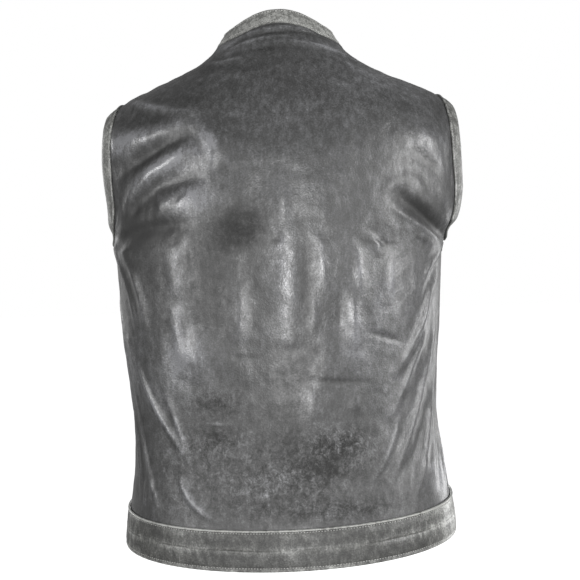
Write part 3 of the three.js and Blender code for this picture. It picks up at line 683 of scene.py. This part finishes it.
back, back_points, back_normals = make_panel(
    "back_leather", BACK, BACK_ACROSS, BACK_FOLDS, BACK_DIRT_AND_PAINTED_LIGHT, BACK_CRACKS, 1)
left, left_points, left_normals = make_panel(
    "front_left_leather", FRONT, LEFT_ACROSS, FRONT_LEFT_FOLDS, FRONT_PATCHES, FRONT_CRACKS, 5, laps=True)
right, right_points, right_normals = make_panel(
    "front_right_leather", FRONT, RIGHT_ACROSS, FRONT_RIGHT_FOLDS, FRONT_PATCHES, FRONT_CRACKS, 9)

# Hem bands
# A band's section, from its upper fold down the outside and back up the inside: how far down it is,
# how far off the panel, and how light it is. Its folds and ridges are lighter, partly rubbed wear and
# partly painted highlight, and its grooves are darker with painted shade
BandPoint = namedtuple("BandPoint", "down off worn")
BAND_SECTION = [
    BandPoint(0.0, 1.4, 1.2), BandPoint(0.3, 2.6, 2.0), BandPoint(1.1, 3.5, 2.4),
    BandPoint(2.0, 3.5, 1.8), BandPoint(2.8, 2.7, -0.2), BandPoint(3.6, 2.3, -0.8),
    BandPoint(4.6, 2.5, -0.4), BandPoint(6.4, 3.0, -0.6), BandPoint(12, 3.1, -0.9),
    BandPoint(16, 3.0, -0.9), BandPoint(19.5, 2.9, -0.6), BandPoint(21.3, 3.2, 0.5),
    BandPoint(22.6, 2.2, -1.0), BandPoint(24.2, 2.8, 0.3), BandPoint(29, 3.0, -0.8),
    BandPoint(34, 3.0, -0.9), BandPoint(39, 2.95, -0.7), BandPoint(41, 2.6, -0.5),
    BandPoint(42.6, 2.1, -0.8), BandPoint(44, 2.7, 0.1), BandPoint(45.8, 2.6, 1.0),
    BandPoint(46.8, 1.9, 1.2), BandPoint(47.0, 1.2, 0.6), BandPoint(46.4, 0.5, 0),
    BandPoint(40, 0.35, 0), BandPoint(24, 0.35, 0), BandPoint(8, 0.35, 0),
    BandPoint(1.0, 0.45, 0), BandPoint(0.2, 0.8, 0.4),
]


def make_hem_band(name, panel, across, seed, laps=False):
    """A hem band on a panel's lower edge, with where its section lies, for stitches and snaps."""
    down = np.array([f.down for f in BAND_SECTION])
    off = np.array([f.off for f in BAND_SECTION])
    level = np.linspace(HEM_Z, BAND_TOP_Z, HEM_BAND_STEPS)
    points = body_points(panel, across, level)
    normals = outward(points, panel.facing)
    normals[:, np.abs(across) > ON_SEAM, 1] = 0
    normals = unit(normals)
    if laps:
        points = points + normals * lap_lift(points, across)[..., None]
    at = (BAND_TOP_Z - down - HEM_Z) / (BAND_TOP_Z - HEM_Z) * (len(level) - 1)
    low = np.clip(np.floor(at).astype(int), 0, len(level) - 2)
    share = (at - low)[:, None, None]
    place = points[low] * (1 - share) + points[low + 1] * share
    facing = unit(normals[low] * (1 - share) + normals[low + 1] * share)
    u = np.broadcast_to(across[None, :] * FLAT_HALF_WIDTH, place.shape[:2])
    deep = np.broadcast_to(down[:, None], place.shape[:2])
    wave = HEM_WAVE * crumple(u, deep, HEM_WAVE_SIZE, seed)
    wave += HEM_SMALL_WAVE * crumple(u, deep, HEM_SMALL_WAVE_SIZE, seed + 1)
    on_face = ((off[:, None] > 2.2) & (deep > 5)).astype(float)
    # the crease half way down comes and goes along the band and sways a little
    faint = np.clip(0.65 - 1.7 * crumple(u, deep * 0, HEM_CREASE_LENGTH, seed + 3), 0, 1)
    faint = faint * np.exp(-((deep - HEM_CREASE_DOWN) / HEM_CREASE_HALF) ** 2)
    reach = off[:, None] * (1 - faint) + HEM_FACE_OFF * faint + wave * on_face
    sway = HEM_CREASE_SWAY * crumple(u, deep * 0, HEM_CREASE_SWAY_SIZE, seed + 2)
    place[..., 2] += sway * np.exp(-((deep - 22) / 6) ** 2)
    sections = (place + facing * reach[..., None]).transpose(1, 0, 2)
    # Where the band's waves stand out it is painted lighter, and darker in their dips: painted light and
    # shade
    worn = np.array([f.worn for f in BAND_SECTION])[:, None] * (1 - faint) + HEM_WAVE_PAINTED_LIGHT * wave
    towards_end = u / FLAT_HALF_WIDTH
    # Lighter towards both ends of the band
    worn = worn + LEFT_END_LIGHTER * ease((towards_end - 0.5) / 0.4)
    worn = worn + RIGHT_END_LIGHTER * ease((-towards_end - 0.5) / 0.35)
    piece = strip_piece(name, sections, worn.T)
    return piece, place, facing


hem_back, hem_back_place, hem_back_facing = make_hem_band("hem_band_back_leather", BACK, BACK_ACROSS, 21)
hem_left, hem_left_place, hem_left_facing = make_hem_band(
    "hem_band_front_left_leather", FRONT, LEFT_ACROSS, 24, laps=True)
hem_right, hem_right_place, hem_right_facing = make_hem_band(
    "hem_band_front_right_leather", FRONT, RIGHT_ACROSS, 27)

# Armhole bands
# A band's section, from the folded edge that lies on the panel, over the outside to the edge of the
# armhole, and back underneath: how far past the panel's edge, how far off it, and how light. Its
# folds are lighter, partly rubbed wear and partly painted highlight, and the groove between its
# folded edge and its face is painted shade.
StripPoint = namedtuple("StripPoint", "reach off worn")
STRIP_SECTION = [
    StripPoint(-4.0, 1.5, 0.7), StripPoint(-3.8, 2.5, 0.9), StripPoint(-3.0, 3.2, 1.0),
    StripPoint(-2.0, 3.2, 0.9), StripPoint(-1.1, 2.6, 0.2), StripPoint(-0.3, 2.1, -0.4),
    StripPoint(0.7, 2.3, 0.3), StripPoint(2.5, 2.7, 0.6), StripPoint(6, 2.8, 0.6),
    StripPoint(10, 2.6, 0.5), StripPoint(13.5, 2.0, 0.6), StripPoint(15.3, 1.1, 0.9),
    StripPoint(16, 0.2, 0.7), StripPoint(15.6, -0.6, 0.3), StripPoint(13, -0.5, 0),
    StripPoint(8, -0.1, 0), StripPoint(3, 0.2, 0), StripPoint(-1, 0.3, 0),
    StripPoint(-3.3, 0.7, 0.2),
]


def armhole_loop(front_points, front_normals, side):
    """The edge of an armhole, up the back from the underarm and down the front."""
    column = -1 if side > 0 else 0
    under = BODY_STEPS - 1
    points = np.concatenate([back_points[under:, column], front_points[-2:under:-1, -1]])
    normals = np.concatenate([back_normals[under:, column], front_normals[-2:under:-1, -1]])
    top = back_points.shape[0] - 1 - under
    for k, row in ((0, under), (top, -1)):
        points[k] = (back_points[row, column] + front_points[row, -1]) / 2
        normals[k] = unit(back_normals[row, column] + front_normals[row, -1])
    return points, normals


def smoothed(values, rounds):
    """Values round a closed loop, evened with their neighbours."""
    for _ in range(rounds):
        values = (np.roll(values, 1, 0) + 2 * values + np.roll(values, -1, 0)) / 4
    return values


def make_armhole_band(name, front_points, front_normals, side, flare, seed):
    """An armhole band round the edge of an armhole, with the groove where it is stitched."""
    points, normals = armhole_loop(front_points, front_normals, side)
    normals = unit(smoothed(normals, EDGE_ROUNDS))
    along = unit(smoothed(np.roll(points, -1, 0) - np.roll(points, 1, 0), ALONG_ROUNDS))
    past = unit(np.cross(along, normals))
    middle = ARMHOLE_MIDDLE * np.array([side, 1, 1])
    inwards = np.sign(np.sum(past * (middle - points), axis=1, keepdims=True))
    past = past * inwards
    reach = np.array([s.reach for s in STRIP_SECTION])
    off = np.array([s.off for s in STRIP_SECTION])
    curl = np.where(reach > 0, STRIP_CURL * (reach / STRIP_PAST_EDGE) ** 2, 0)
    count = len(points)
    walk = np.cumsum(np.linalg.norm(points - np.roll(points, 1, 0), axis=1))
    u = np.broadcast_to(walk[:, None], (count, len(reach)))
    wave = STRIP_WAVE * crumple(u, np.broadcast_to(reach[None, :], u.shape), STRIP_WAVE_SIZE, seed)
    wave[:, reach < 1] *= 0.3
    rising = ease((points[:, 2:3] - UNDERARM_Z) / FLARE_RISE)
    behind = ease(points[:, 1:2] / FLARE_DEPTH)
    stand = flare * rising * behind * np.clip(reach / STRIP_PAST_EDGE, 0, 1)[None, :]
    height = off[None, :] - curl[None, :] + wave + stand
    sections = points[:, None, :] + past[:, None, :] * reach[None, :, None]
    sections = sections + normals[:, None, :] * height[..., None]
    # The band's waves are painted lighter where they stand out and darker in their dips
    worn = np.broadcast_to(np.array([s.worn for s in STRIP_SECTION])[None, :], u.shape) + wave
    piece = strip_piece(name, sections, worn, closed=True)
    groove = points - past * STRIP_GROOVE_BACK + normals * STRIP_GROOVE_OFF
    return piece, groove, normals


band_left, groove_left, groove_left_facing = make_armhole_band(
    "armhole_band_left_leather", left_points, left_normals, 1, LEFT_BAND_FLARE, 31)
band_right, groove_right, groove_right_facing = make_armhole_band(
    "armhole_band_right_leather", right_points, right_normals, -1, RIGHT_BAND_FLARE, 34)


# Collar
def neck_path():
    """The neck seam from the left front's collar end, round the back, and the collar's lean there."""
    share = np.arange(COLLAR_STEPS + 1) / COLLAR_STEPS
    top = np.array([1.0])
    front = yoke_points(FRONT, share * NECK_SHARE, top)[0]
    rear = yoke_points(BACK, share * NECK_SHARE, top)[0]
    front[0] += (front[1] - front[0]) * (COLLAR_END_X / front[1, 0])
    front_lean = COLLAR_LEAN_FRONT + (COLLAR_LEAN_SIDE - COLLAR_LEAN_FRONT) * share
    rear_lean = COLLAR_LEAN_BACK + (COLLAR_LEAN_SIDE - COLLAR_LEAN_BACK) * share
    left_half = np.concatenate([front[:-1], rear[::-1]])
    lean = np.concatenate([front_lean[:-1], rear_lean[::-1]])
    mirrored = left_half[-2::-1] * np.array([-1, 1, 1])
    return np.concatenate([left_half, mirrored]), np.concatenate([lean, lean[-2::-1]])


# The collar's section, from the seam up its outside, over the fold and down inside: how far up it
# is, how far out from the seam, and how light it is: rubbed lighter on its folds, darker at the
# seam as painted shade
CollarPoint = namedtuple("CollarPoint", "rise off worn")
COLLAR_SECTION = [
    CollarPoint(0.3, -0.4, -0.6), CollarPoint(1.4, 0.2, 0.8), CollarPoint(2.8, 0.5, 1.9),
    CollarPoint(4.2, 0.3, 1.7), CollarPoint(6.0, 0.0, 1.5), CollarPoint(9, 0.0, 1.5),
    CollarPoint(14, 0.1, 1.3), CollarPoint(20, 0.0, 1.0), CollarPoint(25, -0.2, 1.0),
    CollarPoint(27.6, -0.3, 1.5), CollarPoint(28.8, -0.8, 1.9), CollarPoint(29.1, -1.3, 1.8),
    CollarPoint(28.6, -1.8, 0.8), CollarPoint(26, -2.1, 0), CollarPoint(14, -2.1, 0),
    CollarPoint(4, -2.0, 0), CollarPoint(1.4, -1.6, 0),
]


def make_collar():
    """The stand collar, leaning in to the neck, with its seam and directions for the stitches."""
    points, lean = neck_path()
    along = unit(np.gradient(points, axis=0))
    up = np.array([0.0, 0.0, 1.0])
    upright = unit(up - along * (along @ up)[:, None])
    inward = unit(np.cross(along, upright))
    towards = np.sign(np.sum(inward * -points * np.array([1, 1, 0]), axis=1, keepdims=True))
    inward = inward * towards
    angle = np.radians(lean)[:, None]
    rise = upright * np.cos(angle) + inward * np.sin(angle)
    face = upright * np.sin(angle) - inward * np.cos(angle)
    height = np.array([s.rise for s in COLLAR_SECTION])
    off = np.array([s.off for s in COLLAR_SECTION])
    walk = np.cumsum(np.linalg.norm(np.gradient(points, axis=0), axis=1))
    u = np.broadcast_to(walk[:, None], (len(points), len(height)))
    wave = COLLAR_WAVE * crumple(u, np.broadcast_to(height[None, :], u.shape), COLLAR_WAVE_SIZE, 41)
    out = off[None, :] + wave * (height > 5)[None, :]
    side = np.clip(np.abs(points[:, 0]) / NECK_HALF_WIDTH, 0, 1)
    behind = points[:, 1] > NECK_SIDE_Y
    drop = COLLAR_SIDE_DROP * np.where(behind, side ** COLLAR_DROP_POWER, 0.5 + 0.5 * side)
    tall = height[None, :] * (1 - drop)[:, None]
    sections = points[:, None, :] + rise[:, None, :] * tall[..., None]
    sections = sections + face[:, None, :] * out[..., None]
    # The collar's waves are painted lighter where they stand out and darker in their dips
    worn = np.broadcast_to(np.array([s.worn for s in COLLAR_SECTION])[None, :], u.shape) + wave
    piece = strip_piece("collar_leather", sections, worn)
    return piece, points, rise * (1 - drop)[:, None], face


collar, collar_seam, collar_rise, collar_face = make_collar()


# Stitches
def stitch_shape():
    """One stitch as a short thread, 1 mm long and thick until it is placed."""
    bpy.ops.object.select_all(action="DESELECT")
    bpy.ops.mesh.primitive_uv_sphere_add(segments=6, ring_count=4, radius=0.5)
    shape = bpy.context.active_object
    points = np.array([v.co[:] for v in shape.data.vertices])
    faces = [list(p.vertices) for p in shape.data.polygons]
    bpy.data.objects.remove(shape)
    return points, faces


STITCH_POINTS, STITCH_FACES = stitch_shape()

# From one stitch to the next, and a stitch's length and thickness
STITCH_STEP = 3.4
STITCH_LENGTH = 2.5
STITCH_THICK = 0.9


def stitch_places(points, facing, closed=False):
    """Even places along a seam: middle, direction and outward direction of each stitch."""
    if closed:
        points = np.concatenate([points, points[:1]])
        facing = np.concatenate([facing, facing[:1]])
    walk = np.concatenate([[0], np.cumsum(np.linalg.norm(np.diff(points, axis=0), axis=1))])
    count = int(walk[-1] / STITCH_STEP)
    at = (np.arange(count) + 0.5) * walk[-1] / count
    middle = np.stack([np.interp(at, walk, points[:, k]) for k in range(3)], -1)
    ahead = np.stack([np.interp(at + 1, walk, points[:, k]) for k in range(3)], -1)
    behind = np.stack([np.interp(at - 1, walk, points[:, k]) for k in range(3)], -1)
    out = unit(np.stack([np.interp(at, walk, facing[:, k]) for k in range(3)], -1))
    return middle, unit(ahead - behind), out


def make_stitches(name, rows):
    """All the stitches of some seams as one piece."""
    points, faces = [], []
    for places in rows:
        for middle, along, out in zip(*places):
            side = np.cross(out, along)
            start = len(points) * len(STITCH_POINTS)
            turned = (STITCH_POINTS[:, :1] * STITCH_LENGTH * along
                      + STITCH_POINTS[:, 1:2] * STITCH_THICK * side
                      + STITCH_POINTS[:, 2:] * STITCH_THICK * out)
            points.append(middle + turned)
            faces.extend([[start + k for k in face] for face in STITCH_FACES])
    return mesh_piece(name, np.concatenate(points), faces)


def along_band(place, facing, down, off):
    """A line along a hem band's outside, at a depth below its upper fold."""
    row = int(np.argmin([abs(f.down - down) + (f.off < 2) * 9 for f in BAND_SECTION]))
    return place[row] + facing[row] * off, facing[row]


hem_rows = []
for place, facing in ((hem_back_place, hem_back_facing), (hem_left_place, hem_left_facing),
                      (hem_right_place, hem_right_facing)):
    hem_rows.append(stitch_places(*along_band(place, facing, HEM_TOP_STITCH_DOWN, 2.5)))
    hem_rows.append(stitch_places(*along_band(place, facing, HEM_LOW_STITCH_DOWN, 2.4)))
hem_stitches = make_stitches("hem_stitches", hem_rows)
armhole_stitches = make_stitches("armhole_stitches", [
    stitch_places(groove_left, groove_left_facing, closed=True),
    stitch_places(groove_right, groove_right_facing, closed=True),
])
collar_line = collar_seam + collar_rise * COLLAR_SEAM_STITCH_RISE + collar_face * 0.3
collar_top = collar_seam + collar_rise * COLLAR_TOP_STITCH_RISE + collar_face * 0.15
collar_stitches = make_stitches("collar_stitches", [
    stitch_places(collar_line, collar_face), stitch_places(collar_top, collar_face)])
FRONT_EDGE_COLUMN = 2
edge_facing = left_normals[3:-2, FRONT_EDGE_COLUMN]
edge_points = left_points[3:-2, FRONT_EDGE_COLUMN] + edge_facing * 0.1
front_stitches = make_stitches("front_edge_stitches", [stitch_places(edge_points, edge_facing)])


# Snaps
# A cap's foot, then each ring inwards from its rim: how far in and how far up
SNAP_FOOT = 1.6
SNAP_RINGS = [(0.9, 0.0), (0.5, -0.45), (0.5, 0.35), (1.5, 0.55), (1.6, 0.35), (1.4, 0.14)]
SNAP_ROUNDING = 0.35


def snap_shape():
    """A snap cap: a low dome inside a turned rim, with its foot flat on the leather."""
    bpy.ops.object.select_all(action="DESELECT")
    bpy.ops.mesh.primitive_cylinder_add(
        vertices=40, radius=SNAP_RADIUS, depth=SNAP_FOOT, location=(0, 0, SNAP_FOOT / 2))
    cap = bpy.context.active_object
    bpy.ops.object.mode_set(mode="EDIT")
    bpy.ops.mesh.select_mode(type="FACE")
    for inset, rise in SNAP_RINGS:
        bpy.ops.mesh.select_all(action="DESELECT")
        bpy.ops.object.mode_set(mode="OBJECT")
        top = max(cap.data.polygons, key=lambda p: (len(p.vertices) > 4, p.center.z))
        top.select = True
        bpy.ops.object.mode_set(mode="EDIT")
        bpy.ops.mesh.inset(thickness=inset, depth=0)
        bpy.ops.transform.translate(value=(0, 0, rise))
    bpy.ops.object.mode_set(mode="OBJECT")
    rounding = cap.modifiers.new("rounding", "BEVEL")
    rounding.width = SNAP_ROUNDING
    rounding.segments = 3
    rounding.limit_method = "ANGLE"
    bpy.ops.object.modifier_apply(modifier=rounding.name)
    mesh = cap.data
    bpy.data.objects.remove(cap)
    return mesh


def middle_place(points, normals, z, off):
    """The place at height z down the middle of the closure, and the direction outwards there."""
    column = LAP_STEPS
    height = points[:, column, 2]
    order = np.argsort(height)
    at = [np.interp(z, height[order], points[order, column, k]) for k in range(3)]
    out = [np.interp(z, height[order], normals[order, column, k]) for k in range(3)]
    out = unit(np.array(out))
    return np.array(at) + out * off, out


# The hem band's section has this many points down its outside
BAND_OUTSIDE = 23
snap_mesh = snap_shape()
snaps = []
for k in range(SNAP_COUNT):
    z = SNAP_TOP_Z + (SNAP_BOTTOM_Z - SNAP_TOP_Z) * k / (SNAP_COUNT - 1)
    if k < SNAP_COUNT - 1:
        place, out = middle_place(left_points, left_normals, z, SNAP_OFF)
    else:
        outside = hem_left_place[:BAND_OUTSIDE]
        place, out = middle_place(outside, hem_left_facing[:BAND_OUTSIDE], z, HEM_SNAP_OFF)
    mesh = snap_mesh.copy()
    turn = Vector((0, 0, 1)).rotation_difference(Vector(out)).to_matrix().to_4x4()
    mesh.transform(Matrix.Translation(Vector(place * MM)) @ turn @ Matrix.Scale(MM, 4))
    snap = bpy.data.objects.new(f"snap_cap_{k + 1}", mesh)
    bpy.context.scene.collection.objects.link(snap)
    mesh.shade_smooth()
    snaps.append(snap)
bpy.data.meshes.remove(snap_mesh)


# Materials: leather for the panels and for the trims, thread and dark nickel
def new_material(name):
    """An empty material, with its tree and its shader."""
    material = bpy.data.materials.new(name)
    material.use_nodes = True
    tree = material.node_tree
    shader = next(n for n in tree.nodes if n.type == "BSDF_PRINCIPLED")
    return material, tree, shader


def texture(tree, kind, scale, stretch=None, **settings):
    """A pattern on the piece's own coordinates; a small stretch number draws it out that way."""
    node = tree.nodes.new(kind)
    place = tree.nodes.get("place") or tree.nodes.new("ShaderNodeTexCoord")
    place.name = "place"
    vector = place.outputs["Object"]
    if stretch:
        drawn = tree.nodes.new("ShaderNodeMapping")
        drawn.inputs["Scale"].default_value = stretch
        tree.links.new(vector, drawn.inputs["Vector"])
        vector = drawn.outputs["Vector"]
    tree.links.new(vector, node.inputs["Vector"])
    node.inputs["Scale"].default_value = scale
    for key, value in settings.items():
        if key in node.inputs:
            node.inputs[key].default_value = value
        else:
            setattr(node, key, value)
    return node


def sum_of(tree, parts, start):
    """start plus each output times its share."""
    total = None
    for output, share in parts:
        step = tree.nodes.new("ShaderNodeMath")
        step.operation = "MULTIPLY_ADD"
        tree.links.new(output, step.inputs[0])
        step.inputs[1].default_value = share
        if total is None:
            step.inputs[2].default_value = start
        else:
            tree.links.new(total, step.inputs[2])
        total = step.outputs[0]
    return total


def tone_ramp(tree, tone, dark, light):
    """Colour from dark to light in even steps to the eye."""
    ramp = tree.nodes.new("ShaderNodeValToRGB")
    ramp.color_ramp.elements[0].color = (*dark, 1)
    ramp.color_ramp.elements[1].color = (*light, 1)
    for share in (0.25, 0.5, 0.75):
        stop = ramp.color_ramp.elements.new(share)
        stop.color = (*[d * (l / d) ** share for d, l in zip(dark, light)], 1)
    tree.links.new(tone, ramp.inputs["Fac"])
    return ramp.outputs["Color"]


# How far above its mean tone the crumpled finish may rise, and the depth of the grain in metres
BRIGHTEST_CRACK = 0.16
GRAIN_DEPTH = 0.0007


def crackle(tree):
    """Light and dark of a crumpled finish where the leather is marked as cracked, and that mark."""
    fine = texture(tree, "ShaderNodeTexNoise", 230, Detail=5.0, Roughness=0.72, Distortion=1.4)
    middling = texture(tree, "ShaderNodeTexNoise", 70, Detail=3.0, Roughness=0.6, Distortion=1.0)
    tone = sum_of(tree, [(fine.outputs["Fac"], 2.0), (middling.outputs["Fac"], 1.7)], -2.0)
    capped = tree.nodes.new("ShaderNodeMath")
    capped.operation = "MINIMUM"
    capped.inputs[1].default_value = BRIGHTEST_CRACK
    tree.links.new(tone, capped.inputs[0])
    place = tree.nodes.new("ShaderNodeAttribute")
    place.attribute_name = "cracked"
    shown = tree.nodes.new("ShaderNodeMath")
    shown.operation = "MULTIPLY"
    tree.links.new(capped.outputs[0], shown.inputs[0])
    tree.links.new(place.outputs["Fac"], shown.inputs[1])
    return shown.outputs[0], place.outputs["Fac"]


def leather(name, dark, light, rough, grain, mottle):
    """Grey leather with a brushed upright grain, specks, crests lighter for wear and painted highlight,
    painted shade in creases, and soft sheen.

    dark and light end its range of greys, rough is its mean roughness, grain the strength of its
    relief and mottle how blotched it is.
    """
    material, tree, shader = new_material(name)
    clouds = texture(tree, "ShaderNodeTexNoise", 14, Detail=2.0, Roughness=0.5)
    brushed = texture(tree, "ShaderNodeTexNoise", 170, stretch=(1, 1, 0.42), Detail=5.0, Roughness=0.6)
    blotches = texture(tree, "ShaderNodeTexNoise", 110, stretch=(1, 1, 0.8), Detail=6.0, Roughness=0.62)
    specks = texture(tree, "ShaderNodeTexNoise", 480, Detail=2.0, Roughness=0.6)
    # The pieces' marked tone: lighter for wear and painted highlights, darker for dirt and painted shade
    worn = tree.nodes.new("ShaderNodeAttribute")
    worn.attribute_name = "worn"
    crumpled, cracked = crackle(tree)
    tone = sum_of(tree, [
        (crumpled, 0.95), (cracked, 0.19), (clouds.outputs["Fac"], 0.3 * mottle),
        (brushed.outputs["Fac"], 0.7 * mottle), (blotches.outputs["Fac"], 0.6 * mottle),
        (specks.outputs["Fac"], 0.7 * mottle), (worn.outputs["Fac"], 0.24)], 0.5 - 1.15 * mottle)
    tree.links.new(tone_ramp(tree, tone, dark, light), shader.inputs["Base Color"])
    gloss = sum_of(tree, [
        (crumpled, -0.35), (cracked, 0.12), (blotches.outputs["Fac"], -0.28), (specks.outputs["Fac"], -0.14),
        (brushed.outputs["Fac"], -0.16), (worn.outputs["Fac"], -0.07)], rough + 0.3)
    tree.links.new(gloss, shader.inputs["Roughness"])
    shader.inputs["Specular IOR Level"].default_value = 0.75
    pebbles = texture(tree, "ShaderNodeTexVoronoi", 620, Randomness=1.0)
    creases = texture(tree, "ShaderNodeTexNoise", 240, stretch=(1, 1, 0.6), Detail=4.0, Roughness=0.6,
                      Distortion=0.6)
    relief = sum_of(tree, [(pebbles.outputs["Distance"], 0.5), (crumpled, 1.5), (specks.outputs["Fac"], 0.4),
                           (creases.outputs["Fac"], 1.1)], 0)
    bump = tree.nodes.new("ShaderNodeBump")
    bump.inputs["Strength"].default_value = grain
    bump.inputs["Distance"].default_value = GRAIN_DEPTH
    tree.links.new(relief, bump.inputs["Height"])
    tree.links.new(bump.outputs["Normal"], shader.inputs["Normal"])
    shader.inputs["Sheen Weight"].default_value = 0.05
    shader.inputs["Sheen Roughness"].default_value = 0.5
    return material


# The panel leather's light end is a little cool, the tint of the highlights painted into its tone
panel_leather = leather("grey_panel_leather", (0.0125, 0.0125, 0.0121), (0.2, 0.202, 0.211), 0.4, 0.35, 1.0)
trim_leather = leather("grey_trim_leather", (0.018, 0.018, 0.0166), (0.39, 0.394, 0.376), 0.46, 0.45, 1.35)


def two_greys(tree, shader, pattern, dark, light):
    """Colour between two greys, after a pattern."""
    ramp = tree.nodes.new("ShaderNodeValToRGB")
    ramp.color_ramp.elements[0].color = (*dark, 1)
    ramp.color_ramp.elements[1].color = (*light, 1)
    tree.links.new(pattern.outputs["Fac"], ramp.inputs["Fac"])
    tree.links.new(ramp.outputs["Color"], shader.inputs["Base Color"])


def thread_material():
    material, tree, shader = new_material("grey_thread")
    lay = texture(tree, "ShaderNodeTexNoise", 900, Detail=2.0)
    two_greys(tree, shader, lay, (0.26, 0.26, 0.25), (0.55, 0.55, 0.53))
    shader.inputs["Roughness"].default_value = 0.7
    return material


def metal_material():
    material, tree, shader = new_material("dark_nickel")
    wear = texture(tree, "ShaderNodeTexNoise", 300, Detail=5.0, Roughness=0.6)
    two_greys(tree, shader, wear, (0.16, 0.16, 0.165), (0.42, 0.42, 0.43))
    tree.links.new(sum_of(tree, [(wear.outputs["Fac"], 0.3)], 0.15), shader.inputs["Roughness"])
    shader.inputs["Metallic"].default_value = 1.0
    return material


thread = thread_material()
nickel = metal_material()


# What each piece is given: its material, its body and the node it stands for
def finish_piece(piece, material, nodes=()):
    """What every piece of the vest is given: material, body and the node it stands for, whose part is
    hidden.
    """
    piece.data.materials.append(material)
    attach(piece, "root")
    if nodes:
        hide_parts(*nodes)


finish_piece(back, panel_leather, ["back"])
finish_piece(left, panel_leather, ["front_left"])
finish_piece(right, panel_leather, ["front_right"])
finish_piece(collar, trim_leather, ["collar"])
finish_piece(band_left, trim_leather, ["armhole_band_left"])
finish_piece(band_right, trim_leather, ["armhole_band_right"])
finish_piece(hem_back, trim_leather, ["hem_band_back"])
finish_piece(hem_left, trim_leather, ["hem_band_front_left"])
finish_piece(hem_right, trim_leather, ["hem_band_front_right"])
for k, snap in enumerate(snaps):
    finish_piece(snap, nickel, [f"snap_{k + 1}"])
for stitches in (hem_stitches, armhole_stitches, collar_stitches, front_stitches):
    finish_piece(stitches, thread)

# Camera, at the photo's distance and lean, in metres
CAMERA_LENS = 64.04
CAMERA_DISTANCE = 1.3
CAMERA_X = -0.0063
CAMERA_Z = -0.303
LEAN = math.radians(1.5)
camera_data = bpy.data.cameras.new("camera")
camera_data.sensor_width = 36
camera_data.lens = CAMERA_LENS
camera = bpy.data.objects.new("camera", camera_data)
bpy.context.scene.collection.objects.link(camera)
level, tipped = math.cos(LEAN), math.sin(LEAN)
camera.matrix_world = Matrix((
    (-level, -tipped, 0, CAMERA_X),
    (0, 0, 1, CAMERA_DISTANCE),
    (-tipped, level, 0, CAMERA_Z),
    (0, 0, 0, 1),
))
bpy.context.scene.camera = camera

# Floor
bpy.ops.object.select_all(action="DESELECT")
bpy.ops.mesh.primitive_plane_add(size=80, location=(0, 0, -1.15))
floor = bpy.context.active_object
floor.name = "floor"
floor_white, floor_tree, floor_shader = new_material("floor_white")
dust = texture(floor_tree, "ShaderNodeTexNoise", 3, Detail=2.0)
two_greys(floor_tree, floor_shader, dust, (0.3, 0.3, 0.3), (0.36, 0.36, 0.36))
floor_shader.inputs["Roughness"].default_value = 0.9
floor_shader.inputs["Emission Color"].default_value = (1, 1, 1, 1)
floor_shader.inputs["Emission Strength"].default_value = 1.0
floor.data.materials.append(floor_white)
floor.visible_diffuse = False
floor.visible_glossy = False

# Surroundings that light the vest softly and are plain white where the camera sees them
world = bpy.data.worlds.new("studio")
world.use_nodes = True
bpy.context.scene.world = world
sky = world.node_tree.nodes["Background"]
sky.inputs["Color"].default_value = (1, 1, 1, 1)
sky.inputs["Strength"].default_value = 0.17
white = world.node_tree.nodes.new("ShaderNodeBackground")
white.inputs["Color"].default_value = (1, 1, 1, 1)
white.inputs["Strength"].default_value = 1.0
seen = world.node_tree.nodes.new("ShaderNodeLightPath")
mix = world.node_tree.nodes.new("ShaderNodeMixShader")
out = next(n for n in world.node_tree.nodes if n.type == "OUTPUT_WORLD")
world.node_tree.links.new(seen.outputs["Is Camera Ray"], mix.inputs[0])
world.node_tree.links.new(sky.outputs[0], mix.inputs[1])
world.node_tree.links.new(white.outputs[0], mix.inputs[2])
world.node_tree.links.new(mix.outputs[0], out.inputs["Surface"])


# Where the lamps aim, in metres
VEST_MIDDLE = (0, 0, -0.3)


def soft_light(name, place, wide, tall, power):
    """A soft window of light that faces the vest."""
    data = bpy.data.lights.new(name, "AREA")
    data.shape = "RECTANGLE"
    data.size = wide
    data.size_y = tall
    data.energy = power
    lamp = bpy.data.objects.new(name, data)
    bpy.context.scene.collection.objects.link(lamp)
    lamp.location = place
    aim = Vector(VEST_MIDDLE) - Vector(place)
    lamp.rotation_euler = aim.to_track_quat("-Z", "Y").to_euler()


soft_light("middle_window", (-0.1, 2.5, -0.6), 0.5, 0.8, 33)
soft_light("right_window", (-2.1, 1.4, 0.0), 1.1, 1.3, 46)
soft_light("left_window", (1.9, 1.8, -0.3), 0.9, 0.8, 29)
soft_light("right_backdrop", (-1.8, -1.0, -0.4), 0.8, 1.3, 14)
soft_light("left_backdrop", (2.2, -1.7, 0.1), 0.9, 1.1, 13)
soft_light("front_window", (0.0, -2.6, 0.2), 1.0, 1.0, 17)

bpy.context.scene.view_settings.view_transform = "Standard"
